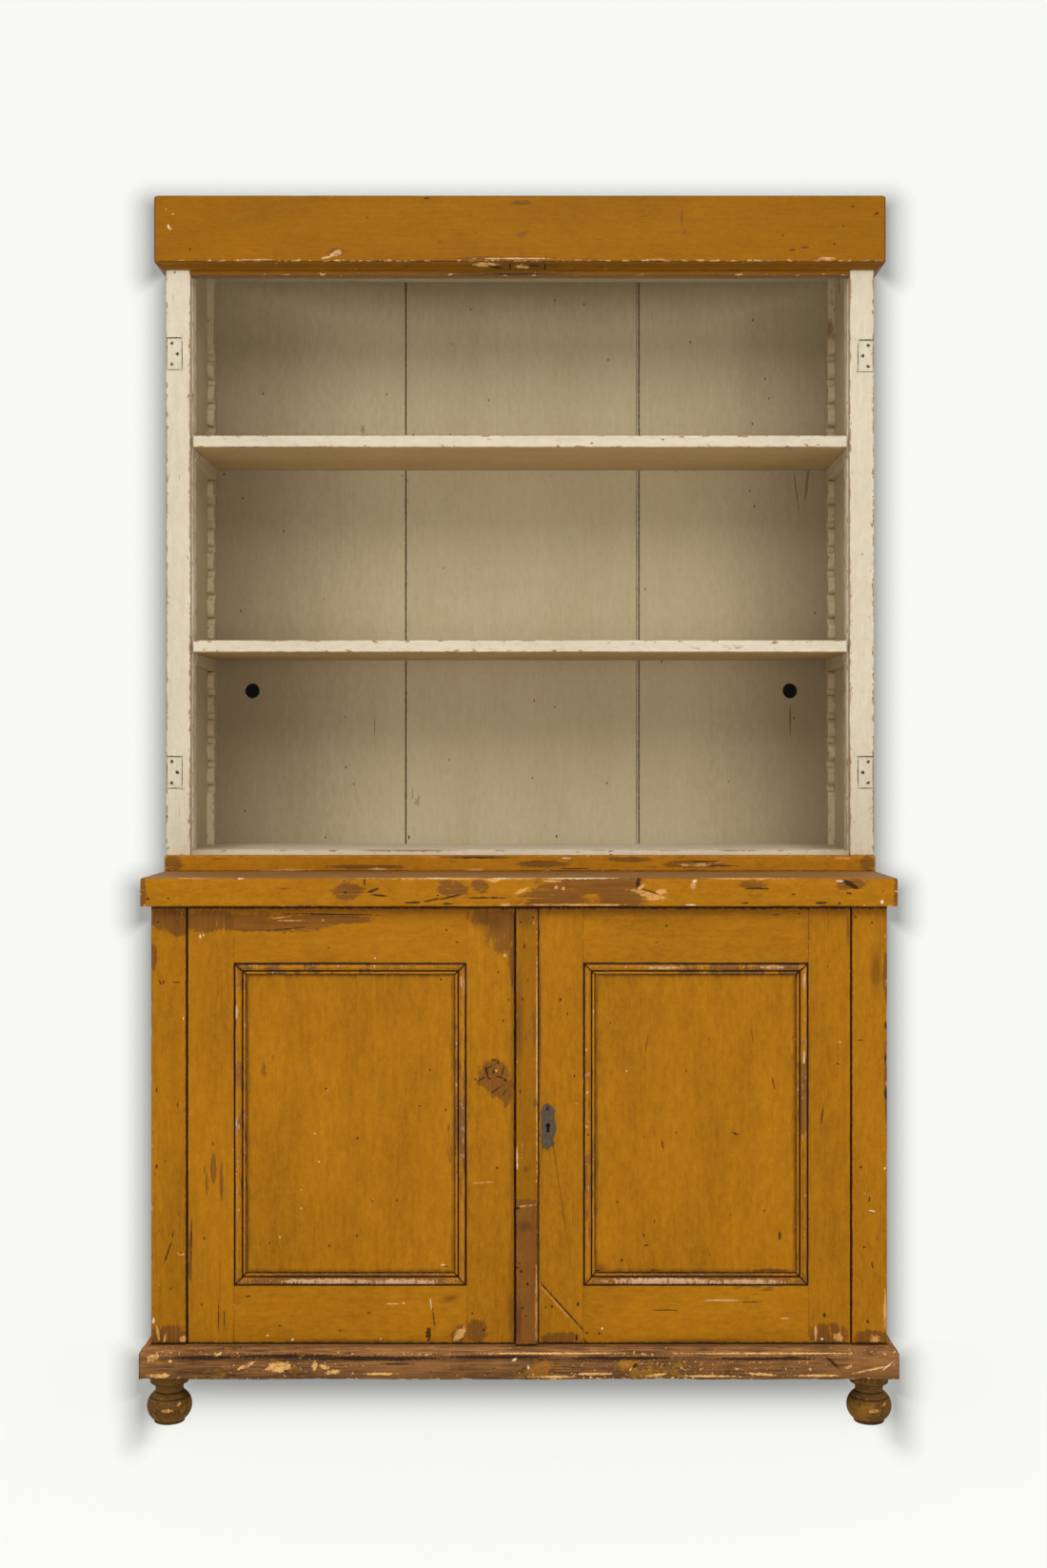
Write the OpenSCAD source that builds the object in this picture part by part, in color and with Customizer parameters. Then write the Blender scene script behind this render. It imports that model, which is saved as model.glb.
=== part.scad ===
// Shop cabinet in two stages: a lower cupboard with two pivot-hung panelled doors, and an
// open upper case with notched shelf supports under a deep plain cornice.
// Millimetres. Z is up, the front faces -Y, and the origin is under the middle of the cabinet.

/* [Lower cupboard] */
// Width over the two corner stiles
lower_w = 1276; // [1200:2:1360]
// Depth from the face of the corner stiles to the back
lower_d = 482; // [440:2:540]
// Height from the top of the plinth to the underside of the worktop
lower_h = 761; // [700:1:820]
// Width of a corner stile on the face
corner_stile_w = 62; // [52:1:75]
// Thickness of the corner stiles, the sill rail and the door frames
frame_t = 24; // [22:1:30]
// Thickness of the side boards
lower_side_t = 22; // [18:1:30]
// Radius of the eased arrises on both stages
arris_r = 2; // [1:0.25:3]
// Thickness of the bottom board
bottom_t = 22; // [18:1:28]
// Height of the cupboard shelf above the bottom board
cupboard_shelf_h = 360; // [280:5:440]
// Thickness of the cupboard shelf
cupboard_shelf_t = 20; // [16:1:26]
// Distance of the cupboard shelf behind the door frames
cupboard_shelf_back = 40; // [30:1:90]
// Height of the stretcher under the worktop
stretcher_h = 30; // [20:1:50]
// Thickness of the stretcher
stretcher_t = 22; // [16:1:30]
// Distance of the stretcher behind the door frames
stretcher_back = 18; // [14:1:40]

/* [Back boards] */
// Thickness of the back boards of both stages
back_t = 14; // [10:1:18]
// Distance of the back boards from the rear edges of the sides
back_inset = 3; // [1:0.5:6]
// Depth of the housings and rebates that hold the boards
housing = 8; // [5:1:10]
// Length of the tongue between two back boards
tongue = 5; // [3:0.5:7]
// Open joint between two back boards
board_gap = 0.4; // [0.2:0.1:0.8]
// Radius of the eased edges at a joint between two back boards
board_bead_r = 1.5; // [0.5:0.25:3]
// Width of the middle board of the upper back
middle_board_w = 457; // [380:1:520]
// Width of the middle board of the lower back
lower_middle_board_w = 420; // [360:1:480]

/* [Worktop] */
// Thickness of the worktop
worktop_t = 49; // [38:1:60]
// Overhang of the worktop at the front
worktop_front = 22; // [14:1:34]
// Overhang of the worktop at each end
worktop_side = 14; // [6:1:24]
// Radius of the upper front arris
worktop_round = 6; // [2:0.5:10]

/* [Plinth and feet] */
// Height of the plinth boards
plinth_h = 54; // [44:1:70]
// Projection of the plinth at the front
plinth_front_out = 20; // [14:1:28]
// Projection of the plinth at each side
plinth_side_out = 17; // [12:1:24]
// Height of the bevel on the plinth's upper edge
plinth_bevel = 9.5; // [4:0.5:14]
// Depth of the same bevel from front to back
plinth_bevel_in = 6.5; // [4:0.5:9]
// Height of the feet
foot_h = 86; // [76:1:100]
// Largest radius of a turned foot
foot_r = 39; // [34:0.5:44]
// Height of the turned ball
foot_ball_h = 56; // [50:1:60]
// Height of the flat disc at the foot of the ball
foot_disc_h = 5; // [3:1:8]
// Radius of the flat disc
foot_disc_r = 26.5; // [24:0.5:28]
// Radius of the neck over the ball
foot_neck_r = 24.5; // [18:0.5:28]
// Radius of the collar under the plinth
foot_collar_r = 33.5; // [29:0.5:38]
// Height of the straight part of the collar
foot_collar_h = 17; // [10:1:18]
// Height of the ring groove above the floor
foot_groove_z = 44; // [38:1:47]
// Radius of the ring groove
foot_groove_r = 1.8; // [1:0.2:2.4]
// Distance of a turned foot's centre from the end of the body
foot_inset = 27; // [20:1:40]
// Side of a square rear foot
rear_foot_w = 60; // [50:1:70]

/* [Doors] */
// Gap between a door and the corner stile
hinge_gap = 2.3; // [2.2:0.1:4]
// Gap between the two doors
meeting_gap = 2; // [1.5:0.1:3]
// Place of the meeting line, left of the middle
meeting_left = 7; // [0:1:20]
// Gap under the doors
door_foot_gap = 2.5; // [2:0.1:4]
// Gap over the doors
door_head_gap = 3; // [2:0.1:4]
// Width of the left door's hinge stile
left_hinge_stile_w = 79; // [68:1:95]
// Width of the left door's meeting stile
left_meeting_stile_w = 83; // [70:1:95]
// Width of the right door's hinge stile
right_hinge_stile_w = 72; // [68:1:95]
// Width of the right door's meeting stile
right_meeting_stile_w = 117; // [108:1:130]
// Height of the top rails
top_rail_h = 96; // [85:1:110]
// Height of the bottom rails
bottom_rail_h = 99.5; // [85:0.5:115]
// Thickness of the panels and of the tenons
panel_t = 10; // [8:0.5:11]
// Depth of the panel face behind the frame face
panel_recess = 9.5; // [8:0.5:10.5]
// Depth of the panel groove in the frame
groove_d = 8; // [5:0.5:10]
// Length of the tenons on the rails
tenon_l = 45; // [30:1:55]
// Distance from the tenon to the end of the stile
tenon_shoulder = 20; // [14:1:28]
// Width of the panel moulding
moulding_w = 21; // [19:0.5:24]
// Radius of the large round of the panel moulding
moulding_round_r = 6; // [4.5:0.25:6.5]
// Radius of the small bead of the panel moulding
moulding_bead_r = 3; // [2:0.25:3]

/* [Meeting strip] */
// Width of the strip on the right door
strip_w = 38; // [30:1:46]
// Thickness of the strip
strip_t = 9; // [6:0.5:12]
// Height of the replaced lower length of the strip
strip_patch_h = 243; // [180:1:300]
// Radius of the strip's right arris
strip_round = 3; // [1:0.5:4]

/* [Pivots, lock and bolt] */
// Radius of the pivot pins
pivot_r = 3.5; // [3:0.25:4]
// Distance of a pivot from the corner stile
pivot_in = 14; // [13.5:0.25:16]
// Distance of a pivot behind the door's face
pivot_behind = 7; // [6.5:0.25:7.25]
// Length of a pivot pin inside the door
pivot_hold = 26; // [18:1:40]
// Length of a pivot pin past the end of the door
pivot_reach = 13; // [10:1:16]
// Radius of the collar that carries the door
pivot_collar_r = 6.5; // [5.5:0.25:6.75]
// Running clearance round the pins
pivot_fit = 0.05; // [0.02:0.01:0.1]
// Clearance between moving pieces that slide on wood or iron
slide_fit = 0.3; // [0.2:0.05:0.5]
// Place of the keyhole right of the middle
lock_x = 50; // [46:1:56]
// Height of the keyhole above the foot of the doors
lock_h = 378; // [330:0.5:420]
// Width of the lock case
lock_case_w = 68; // [60:1:80]
// Height of the lock case
lock_case_h = 84; // [60:1:110]
// Thickness of the lock case
lock_case_t = 14; // [12:0.5:18]
// Height of the lock bolt
lock_bolt_h = 18; // [12:1:26]
// Thickness of the lock bolt
lock_bolt_t = 6; // [4:0.5:7]
// Length of the lock bolt that stays in the case
lock_bolt_hold = 30; // [24:1:34]
// Throw of the lock bolt
lock_throw = 10; // [6:1:12]
// Radius of the round head of the keyhole
keyhole_r = 3; // [2.5:0.25:4]
// Width of the keyhole's slot
keyhole_slot_w = 2.6; // [2:0.2:4]
// Height of the keyhole
keyhole_h = 15; // [12:0.5:18]
// Thickness of the escutcheon
escutcheon_t = 2; // [1:0.5:3]
// Height of the escutcheon above the keyhole
escutcheon_up = 39; // [36:0.5:42]
// Height of the escutcheon below the keyhole
escutcheon_down = 43.5; // [41:0.5:46]
// Width of the escutcheon left of the keyhole
escutcheon_left = 11; // [9:0.5:12]
// Width of the escutcheon right of the keyhole
escutcheon_right = 14.5; // [13:0.5:16]
// Radius of the left door's bolt
door_bolt_r = 4; // [3:0.5:5]
// Length of the left door's bolt
door_bolt_l = 120; // [100:5:150]
// Throw of the left door's bolt
door_bolt_throw = 14; // [10:1:18]
// Distance of the bolt from the left door's meeting edge
door_bolt_in = 40; // [30:1:55]

/* [Upper case] */
// Inset of the upper case from each end of the worktop
upper_inset = 3; // [0:1:20]
// Depth of the upper case
upper_d = 292; // [260:2:330]
// Height from the worktop to the top of the cornice
upper_h = 1234; // [1160:1:1320]
// Thickness of the upper sides
upper_side_t = 32; // [26:1:36]
// Width of a face stile
face_stile_w = 44; // [41:1:50]
// Thickness of the face stiles and the head rail
face_t = 22; // [20:1:26]
// Height of the base rail
base_rail_h = 29; // [24:1:40]
// Thickness of the base rail
base_rail_t = 22; // [18:1:26]
// Projection of the base rail before the face stiles
base_rail_out = 10; // [6:1:14]
// Projection of the base rail past each face stile
base_rail_side_out = 1; // [0:0.5:3]
// Height of the floor above the base rail
floor_step = 9; // [4:1:14]
// Thickness of the floor
floor_t = 22; // [18:1:26]
// Height of the head rail that shows under the cornice
head_show = 10; // [6:1:30]
// Depth of the ceiling board's underside below the cornice's top
ceiling_drop = 84; // [70:1:100]
// Thickness of the ceiling board
ceiling_t = 22; // [16:1:28]
// Distance of the case's top below the cornice's top
case_drop = 20; // [8:1:40]

/* [Cornice] */
// Height of the cornice boards
cornice_h = 121; // [105:1:140]
// Projection of the cornice before the face stiles
cornice_front_out = 20; // [14:1:28]
// Projection of the cornice past each side
cornice_side_out = 19; // [14:1:28]
// Radius of the cornice's upper arris
cornice_round = 3; // [1:0.5:5]
// Height of the bevelled bed mould
bed_h = 11; // [8:0.5:18]
// Projection of the bed mould at its foot
bed_out = 4; // [2:0.5:8]
// Distance of the bed mould's edge behind the cornice's face
bed_behind = 1.5; // [0.5:0.5:4]
// Height of the square edge on the bed mould
bed_edge = 2; // [1:0.5:4]

/* [Shelves and notched supports] */
// Thickness of the two shelves
shelf_t = 22; // [18:1:26]
// Radius of a shelf's upper front arris
shelf_round = 2.5; // [1:0.5:5]
// Gap at each end of a shelf
shelf_end_gap = 5.5; // [2:0.5:8]
// Distance of the shelf's front edge behind the face stiles
shelf_front_in = 2; // [0:1:20]
// Gap behind a shelf
shelf_back_gap = 2; // [1:0.5:6]
// Thickness of the notched rails
rail_t = 14; // [12:1:14]
// Width of the notched rails
rail_w = 30; // [24:1:36]
// Distance between two notches
notch_pitch = 47; // [46:0.5:48]
// Number of notches
notch_count = 19; // [16:1:19]
// Height of a notch
notch_h = 10; // [8:0.5:14]
// Depth of a notch
notch_d = 13; // [9:0.5:16]
// Radius of the rounded tooth ends
tooth_r = 12; // [4:0.5:14]
// Height of the first notch above the floor
notch_first = 111; // [70:1:130]
// Notch that carries the lower shelf, counted from zero
lower_shelf_notch = 5; // [4:1:6]
// Notch that carries the upper shelf, counted from zero
upper_shelf_notch = 13; // [12:1:13]
// Height of a batten
batten_h = 22; // [18:1:28]
// Play of a batten between the notched rails
batten_play = 0.5; // [0.2:0.1:1]

/* [Holes and hinge recesses] */
// Radius of the two holes in the upper back
back_hole_r = 15; // [8:0.5:25]
// Height of the two holes above the floor
back_hole_h = 303; // [200:1:330]
// Distance of the two holes from the sides
back_hole_in = 84; // [50:1:120]
// Height of a hinge recess
hinge_h = 58; // [50:1:70]
// Width of a hinge recess
hinge_w = 29; // [26:0.5:34]
// Depth of a hinge recess
hinge_d = 2; // [1:0.25:3]
// Height of the lower hinge recesses above the base rail
lower_hinge_up = 152; // [100:1:220]
// Height of the upper hinge recesses above the base rail
upper_hinge_up = 920; // [860:1:960]
// Distance that the right upper recess sits below the left one
hinge_shift = 4; // [0:0.5:8]
// Radius of the screw holes
screw_r = 1.6; // [1:0.1:2.5]
// Depth of the screw holes
screw_d = 14; // [8:1:18]
// Distance between the outer screw holes of a recess
screw_pitch = 39; // [30:0.5:44]
// Distance of the outer screw holes from the stile's edge
screw_edge = 10; // [7:0.5:14]
// Distance of the middle screw hole from the outer ones, across the stile
screw_stagger = 10; // [4:0.5:12]

/* [Hidden] */
$fn = 64;
// Overshoot of a cut past the face that it opens
cut = 1;
// Radius of the small arrises on the head rail, the strip and the lock's bolt
small_arris_r = 1.5;

// Levels, from the floor up
plinth_z = foot_h;
body_z = plinth_z + plinth_h;
body_top_z = body_z + lower_h;
worktop_z = body_top_z + worktop_t;
rail_top_z = worktop_z + base_rail_h;
floor_z = rail_top_z + floor_step;
cornice_top_z = worktop_z + upper_h;
cornice_z = cornice_top_z - cornice_h;
bed_z = cornice_z - bed_h;
head_z = bed_z - head_show;
ceiling_z = cornice_top_z - ceiling_drop;
case_top_z = cornice_top_z - case_drop;

// Planes from front to back
back_y = (lower_d + worktop_front) / 2;
front_y = back_y - lower_d;
door_rear_y = front_y + frame_t;
face_y = back_y - upper_d;
face_rear_y = face_y + face_t;
boards_rear_y = back_y - back_inset;
boards_y = boards_rear_y - back_t;

// Half widths
lower_x = lower_w / 2;
lower_in_x = lower_x - lower_side_t;
door_opening_x = lower_x - corner_stile_w;
worktop_x = lower_x + worktop_side;
upper_x = worktop_x - upper_inset;
upper_in_x = upper_x - upper_side_t;
face_in_x = upper_x - face_stile_w;
rail_in_x = upper_in_x - rail_t;

// Doors
door_z = body_z + door_foot_gap;
door_top_z = body_top_z - door_head_gap;
frame_z = door_z + bottom_rail_h;
frame_top_z = door_top_z - top_rail_h;
panel_y = front_y + panel_recess;
panel_rear_y = panel_y + panel_t;
left_edge_x = -meeting_left - meeting_gap / 2;
right_edge_x = -meeting_left + meeting_gap / 2;
door_hinge_x = door_opening_x - hinge_gap;
left_frame_x = -door_hinge_x + left_hinge_stile_w;
left_frame_end_x = left_edge_x - left_meeting_stile_w;
right_frame_x = right_edge_x + right_meeting_stile_w;
right_frame_end_x = door_hinge_x - right_hinge_stile_w;
pivot_x = door_opening_x - pivot_in;
pivot_y = front_y + pivot_behind;

// Lock
lock_case_in = 2;
lock_z = door_z + lock_h;
lock_case_x = right_edge_x + lock_case_in;
lock_bolt_behind = 3;
lock_bolt_y = door_rear_y + lock_bolt_behind;
lock_bolt_l = lock_throw + lock_bolt_hold;

// Left door's bolt
bolt_plate_w = 26;
bolt_plate_t = 2;
bolt_plate_h = 88;
bolt_plate_down = 18;
bolt_loop_h = 10;
bolt_loop_w = 15;
bolt_loop_wall = 2;
bolt_loop_in = 6;
bolt_behind = 3;
door_bolt_x = left_edge_x - door_bolt_in;
door_bolt_y = door_rear_y + bolt_behind + door_bolt_r;
door_bolt_rest = 5;
door_bolt_top_z = door_top_z - door_bolt_rest;
door_bolt_z = door_bolt_top_z - door_bolt_l;
bolt_plate_z = door_top_z - bolt_plate_down - bolt_plate_h;
bolt_low_loop_z = bolt_plate_z + bolt_loop_in;
bolt_high_loop_z = bolt_plate_z + bolt_plate_h - bolt_loop_in - bolt_loop_h;
bolt_knob_z = bolt_low_loop_z + bolt_loop_h + slide_fit;
bolt_knob_r = 5.5;
bolt_knob_l = 16;

// Notched supports and shelves
front_rail_y = face_rear_y;
front_teeth_y = front_rail_y + rail_w;
rear_teeth_y = boards_y - rail_w;
notch_z = floor_z + notch_first;
shelf_x = face_in_x - shelf_end_gap;
ear_gap = 1.5;
ear_x = upper_in_x - ear_gap;
shelf_y = face_y + shelf_front_in;
shelf_rear_y = boards_y - shelf_back_gap;
batten_in = 2;
tongue_gap = 0.4;

// Level of the underside of a batten set in the given notch
function batten_z(notch) = notch_z + notch * notch_pitch - notch_h / 2;
// Level of the underside of a shelf on battens in the given notch
function shelf_z(notch) = batten_z(notch) + batten_h + slide_fit;

// A box between two corners
module block(low, high) {
    translate(low)
        cube(high - low);
}

// Carries a profile drawn as [y, z] along X
module along_x(start, end) {
    translate([start, 0, 0])
        rotate([90, 0, 90])
            linear_extrude(end - start)
                children();
}

// Carries a profile drawn as [x, z] along Y
module along_y(start, end) {
    translate([0, end, 0])
        rotate([90, 0, 0])
            linear_extrude(end - start)
                children();
}

// Carries a profile drawn as [x, y] along Z
module along_z(start, end) {
    translate([0, 0, start])
        linear_extrude(end - start)
            children();
}

// What rounding takes off a corner at a point, where inward gives the signs towards the piece
module rounding(corner, inward, r) {
    translate(corner)
        difference() {
            translate(inward * (r - cut) / 2)
                square(r + cut, center = true);
            translate(inward * r)
                circle(r);
        }
}

// A rectangle from low to high
module plate(low, high) {
    translate(low)
        square(high - low);
}

// Plan of the front run of a band round three sides, mitred at both ends
module front_run_plan(x, y, side_out, front_out) {
    polygon([[-x, y], [-x - side_out, y - front_out], [x + side_out, y - front_out], [x, y]]);
}

// Plan of the right run of the same band
module side_run_plan(x, y, side_out, front_out) {
    polygon([[x, y], [x + side_out, y - front_out], [x + side_out, back_y], [x, back_y]]);
}

// Section of the plinth, as [distance out, height]
module plinth_section(out) {
    polygon([
        [0, plinth_z], [out, plinth_z], [out, body_z - plinth_bevel],
        [out - plinth_bevel_in, body_z], [0, body_z]
    ]);
}

module plinth_front() {
    color("saddlebrown")
        intersection() {
            along_z(plinth_z, body_z)
                front_run_plan(lower_x, front_y, plinth_side_out, plinth_front_out);
            along_x(-lower_x - plinth_side_out, lower_x + plinth_side_out)
                translate([front_y, 0])
                    mirror([1, 0])
                        plinth_section(plinth_front_out);
        }
}

module plinth_right() {
    color("saddlebrown")
        intersection() {
            along_z(plinth_z, body_z)
                side_run_plan(lower_x, front_y, plinth_side_out, plinth_front_out);
            along_y(front_y - plinth_front_out, back_y)
                translate([lower_x, 0])
                    plinth_section(plinth_side_out);
        }
}

module plinth_left() {
    mirror([1, 0, 0])
        plinth_right();
}

// Half section of a turned foot, as [radius, height]: a ball on a flat disc, with a ring
// groove, and a neck that runs in a cove out to the collar
module foot_section() {
    ball_r = foot_ball_h / 2;
    ball_in = foot_r - ball_r;
    groove_in = ball_in + sqrt(pow(ball_r, 2) - pow(foot_groove_z - ball_r, 2));
    cove_r = foot_collar_r - foot_neck_r;
    collar_z = foot_h - foot_collar_h;
    plate([0, 0], [foot_disc_r, foot_disc_h]);
    difference() {
        union() {
            plate([0, 0], [ball_in, foot_ball_h]);
            intersection() {
                translate([ball_in, ball_r])
                    circle(ball_r);
                plate([0, 0], [foot_r + cut, foot_ball_h]);
            }
        }
        translate([groove_in, foot_groove_z])
            circle(foot_groove_r);
    }
    plate([0, ball_r], [foot_neck_r, collar_z]);
    difference() {
        plate([0, collar_z - cove_r], [foot_collar_r, foot_h]);
        translate([foot_collar_r, collar_z - cove_r])
            circle(cove_r);
    }
}

module turned_foot(side) {
    color("peru")
        translate([side * (lower_x - foot_inset), front_y + foot_inset, 0])
            rotate_extrude($fn = 96)
                foot_section();
}

module foot_front_left() {
    turned_foot(-1);
}

module foot_front_right() {
    turned_foot(1);
}

module rear_feet() {
    taper = 6;
    color("saddlebrown")
        for (side = [0, 1])
            mirror([side, 0, 0])
                along_y(back_y - rear_foot_w, back_y)
                    polygon([
                        [lower_x, 0], [lower_x, foot_h], [lower_x - rear_foot_w, foot_h],
                        [lower_x - rear_foot_w, foot_h / 2], [lower_x - rear_foot_w + taper, 0]
                    ]);
}

// The two holes in which the door pivots turn, bored from the given level upwards
module pivot_bores(z, depth) {
    for (side = [-1, 1])
        translate([side * pivot_x, pivot_y, z])
            cylinder(h = depth, r = pivot_r + pivot_fit);
}

module sill_rail() {
    color("burlywood")
        difference() {
            block([-door_opening_x, front_y, plinth_z], [door_opening_x, door_rear_y, body_z]);
            pivot_bores(body_z - pivot_reach - cut, pivot_reach + 2 * cut);
        }
}

module bottom_board() {
    color("burlywood")
        block(
            [-lower_in_x - housing, door_rear_y, body_z - bottom_t],
            [lower_in_x + housing, boards_y, body_z]
        );
}

module lower_side_right() {
    shelf_top = body_z + cupboard_shelf_h;
    color("goldenrod")
        difference() {
            block([lower_in_x, door_rear_y, plinth_z], [lower_x, back_y, body_top_z]);
            block(
                [lower_in_x - cut, door_rear_y - cut, body_z - bottom_t],
                [lower_in_x + housing, boards_y, body_z]
            );
            block(
                [lower_in_x - cut, door_rear_y + cupboard_shelf_back, shelf_top - cupboard_shelf_t],
                [lower_in_x + housing, boards_y, shelf_top]
            );
            block(
                [lower_in_x - cut, boards_y, body_z - bottom_t],
                [lower_in_x + housing, back_y + cut, body_top_z + cut]
            );
            block(
                [lower_in_x - cut, door_rear_y + stretcher_back, body_top_z - stretcher_h],
                [lower_in_x + housing, door_rear_y + stretcher_back + stretcher_t, body_top_z + cut]
            );
        }
}

module lower_side_left() {
    mirror([1, 0, 0])
        lower_side_right();
}

module corner_stile(side) {
    color("goldenrod")
        mirror([side < 0 ? 1 : 0, 0, 0])
            along_z(plinth_z, body_top_z)
                difference() {
                    plate([door_opening_x, front_y], [lower_x, door_rear_y]);
                    rounding([lower_x, front_y], [-1, 1], arris_r);
                }
}

module corner_stile_left() {
    corner_stile(-1);
}

module corner_stile_right() {
    corner_stile(1);
}

// Plan of a back board from start to end, with a groove at its start and a tongue at its end
module board_plan(start, end, grooved, tongued) {
    third = back_t / 3;
    low = start + (grooved ? board_gap / 2 : 0);
    high = end - (tongued ? board_gap / 2 : 0);
    difference() {
        union() {
            plate([low, boards_y], [high, boards_rear_y]);
            if (tongued)
                plate(
                    [high - cut, boards_y + third + board_gap / 2],
                    [high + tongue, boards_y + 2 * third - board_gap / 2]
                );
        }
        if (grooved) {
            plate([low - cut, boards_y + third], [low + tongue, boards_y + 2 * third]);
            rounding([low, boards_y], [1, 1], board_bead_r);
        }
        if (tongued)
            rounding([high, boards_y], [-1, 1], board_bead_r);
    }
}

module lower_back_boards() {
    half = lower_middle_board_w / 2;
    end = lower_in_x + housing;
    color("burlywood")
        along_z(body_z - bottom_t, body_top_z) {
            board_plan(-end, -half, false, true);
            board_plan(-half, half, true, true);
            board_plan(half, end, true, false);
        }
}

module cupboard_shelf() {
    shelf_top = body_z + cupboard_shelf_h;
    color("burlywood")
        block(
            [-lower_in_x - housing, door_rear_y + cupboard_shelf_back, shelf_top - cupboard_shelf_t],
            [lower_in_x + housing, boards_y, shelf_top]
        );
}

module top_stretcher() {
    color("burlywood")
        block(
            [-lower_in_x - housing, door_rear_y + stretcher_back, body_top_z - stretcher_h],
            [lower_in_x + housing, door_rear_y + stretcher_back + stretcher_t, body_top_z]
        );
}

module worktop() {
    y = front_y - worktop_front;
    color("goldenrod")
        difference() {
            intersection() {
                along_x(-worktop_x, worktop_x)
                    difference() {
                        plate([y, body_top_z], [back_y, worktop_z]);
                        rounding([y, worktop_z], [1, -1], worktop_round);
                        rounding([y, body_top_z], [1, 1], arris_r);
                    }
                along_y(y, back_y)
                    difference() {
                        plate([-worktop_x, body_top_z], [worktop_x, worktop_z]);
                        for (side = [-1, 1])
                            rounding([side * worktop_x, worktop_z], [-side, -1], worktop_round / 2);
                    }
            }
            pivot_bores(body_top_z - cut, pivot_reach + 2 * cut);
            translate([door_bolt_x, door_bolt_y, body_top_z - cut])
                cylinder(h = door_bolt_throw + 2 * cut, r = door_bolt_r + 2 * slide_fit);
        }
}

module base_rail() {
    x = upper_x + base_rail_side_out;
    y = face_y - base_rail_out;
    color("goldenrod")
        along_x(-x, x)
            difference() {
                plate([y, worktop_z], [y + base_rail_t, rail_top_z]);
                rounding([y, rail_top_z], [1, -1], arris_r);
            }
}

module upper_floor() {
    front = face_y - base_rail_out + base_rail_t;
    color("antiquewhite")
        along_z(floor_z - floor_t, floor_z) {
            plate([-face_in_x, front], [face_in_x, face_rear_y + cut]);
            plate([-upper_in_x - housing, face_rear_y], [upper_in_x + housing, boards_y]);
        }
}

module upper_side_right() {
    color("ivory")
        difference() {
            block([upper_in_x, face_rear_y, worktop_z], [upper_x, back_y, case_top_z]);
            block(
                [upper_in_x - cut, face_rear_y - cut, floor_z - floor_t],
                [upper_in_x + housing, boards_y, floor_z]
            );
            block(
                [upper_in_x - cut, face_rear_y - cut, ceiling_z],
                [upper_in_x + housing, boards_y, ceiling_z + ceiling_t]
            );
            block(
                [upper_in_x - cut, boards_y, worktop_z - cut],
                [upper_in_x + housing, back_y + cut, ceiling_z + ceiling_t]
            );
        }
}

module upper_side_left() {
    mirror([1, 0, 0])
        upper_side_right();
}

// Recess for a hinge leaf in the right face stile, centred on a level, with its screw holes
module hinge_recess(z) {
    block(
        [upper_x - hinge_w, face_y - cut, z - hinge_h / 2],
        [upper_x + cut, face_y + hinge_d, z + hinge_h / 2]
    );
    for (place = [[0, -1], [1, 0], [0, 1]])
        translate([
            upper_x - screw_edge - place[0] * screw_stagger,
            face_y + hinge_d + screw_d,
            z + place[1] * screw_pitch / 2
        ])
            rotate([90, 0, 0])
                cylinder(h = screw_d + cut, r = screw_r, $fn = 24);
}

// Right face stile, with its upper recess lowered by a shift
module face_stile(shift) {
    color("antiquewhite")
        difference() {
            block([face_in_x, face_y, rail_top_z], [upper_x, face_rear_y, case_top_z]);
            hinge_recess(rail_top_z + lower_hinge_up);
            hinge_recess(rail_top_z + upper_hinge_up - shift);
        }
}

module face_stile_left() {
    mirror([1, 0, 0])
        face_stile(0);
}

module face_stile_right() {
    face_stile(hinge_shift);
}

module head_rail() {
    quirk = 1.5;
    quirk_z = bed_z - 2 * quirk;
    color("darkgoldenrod")
        along_x(-face_in_x, face_in_x)
            difference() {
                plate([face_y, head_z], [face_rear_y, ceiling_z + ceiling_t]);
                plate([face_y - cut, quirk_z], [face_y + quirk, quirk_z + quirk]);
                rounding([face_y, head_z], [1, 1], small_arris_r);
            }
}

module ceiling_board() {
    color("antiquewhite")
        block(
            [-upper_in_x - housing, face_rear_y, ceiling_z],
            [upper_in_x + housing, boards_y, ceiling_z + ceiling_t]
        );
}

module cornice_front() {
    y = face_y - cornice_front_out;
    color("goldenrod")
        intersection() {
            along_z(cornice_z, cornice_top_z)
                front_run_plan(upper_x, face_y, cornice_side_out, cornice_front_out);
            along_x(-upper_x - cornice_side_out, upper_x + cornice_side_out)
                difference() {
                    plate([y, cornice_z], [face_y, cornice_top_z]);
                    rounding([y, cornice_top_z], [1, -1], cornice_round);
                    rounding([y, cornice_z], [1, 1], arris_r);
                }
        }
}

module cornice_right() {
    x = upper_x + cornice_side_out;
    color("goldenrod")
        intersection() {
            along_z(cornice_z, cornice_top_z)
                side_run_plan(upper_x, face_y, cornice_side_out, cornice_front_out);
            along_y(face_y - cornice_front_out, back_y)
                difference() {
                    plate([upper_x, cornice_z], [x, cornice_top_z]);
                    rounding([x, cornice_top_z], [-1, -1], cornice_round);
                    rounding([x, cornice_z], [-1, 1], arris_r);
                }
        }
}

module cornice_left() {
    mirror([1, 0, 0])
        cornice_right();
}

// Section of the bed mould, as [distance out, height]
module bed_section(out) {
    polygon([
        [0, bed_z], [bed_out, bed_z], [out - bed_behind, cornice_z - bed_edge],
        [out - bed_behind, cornice_z], [0, cornice_z]
    ]);
}

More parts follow.
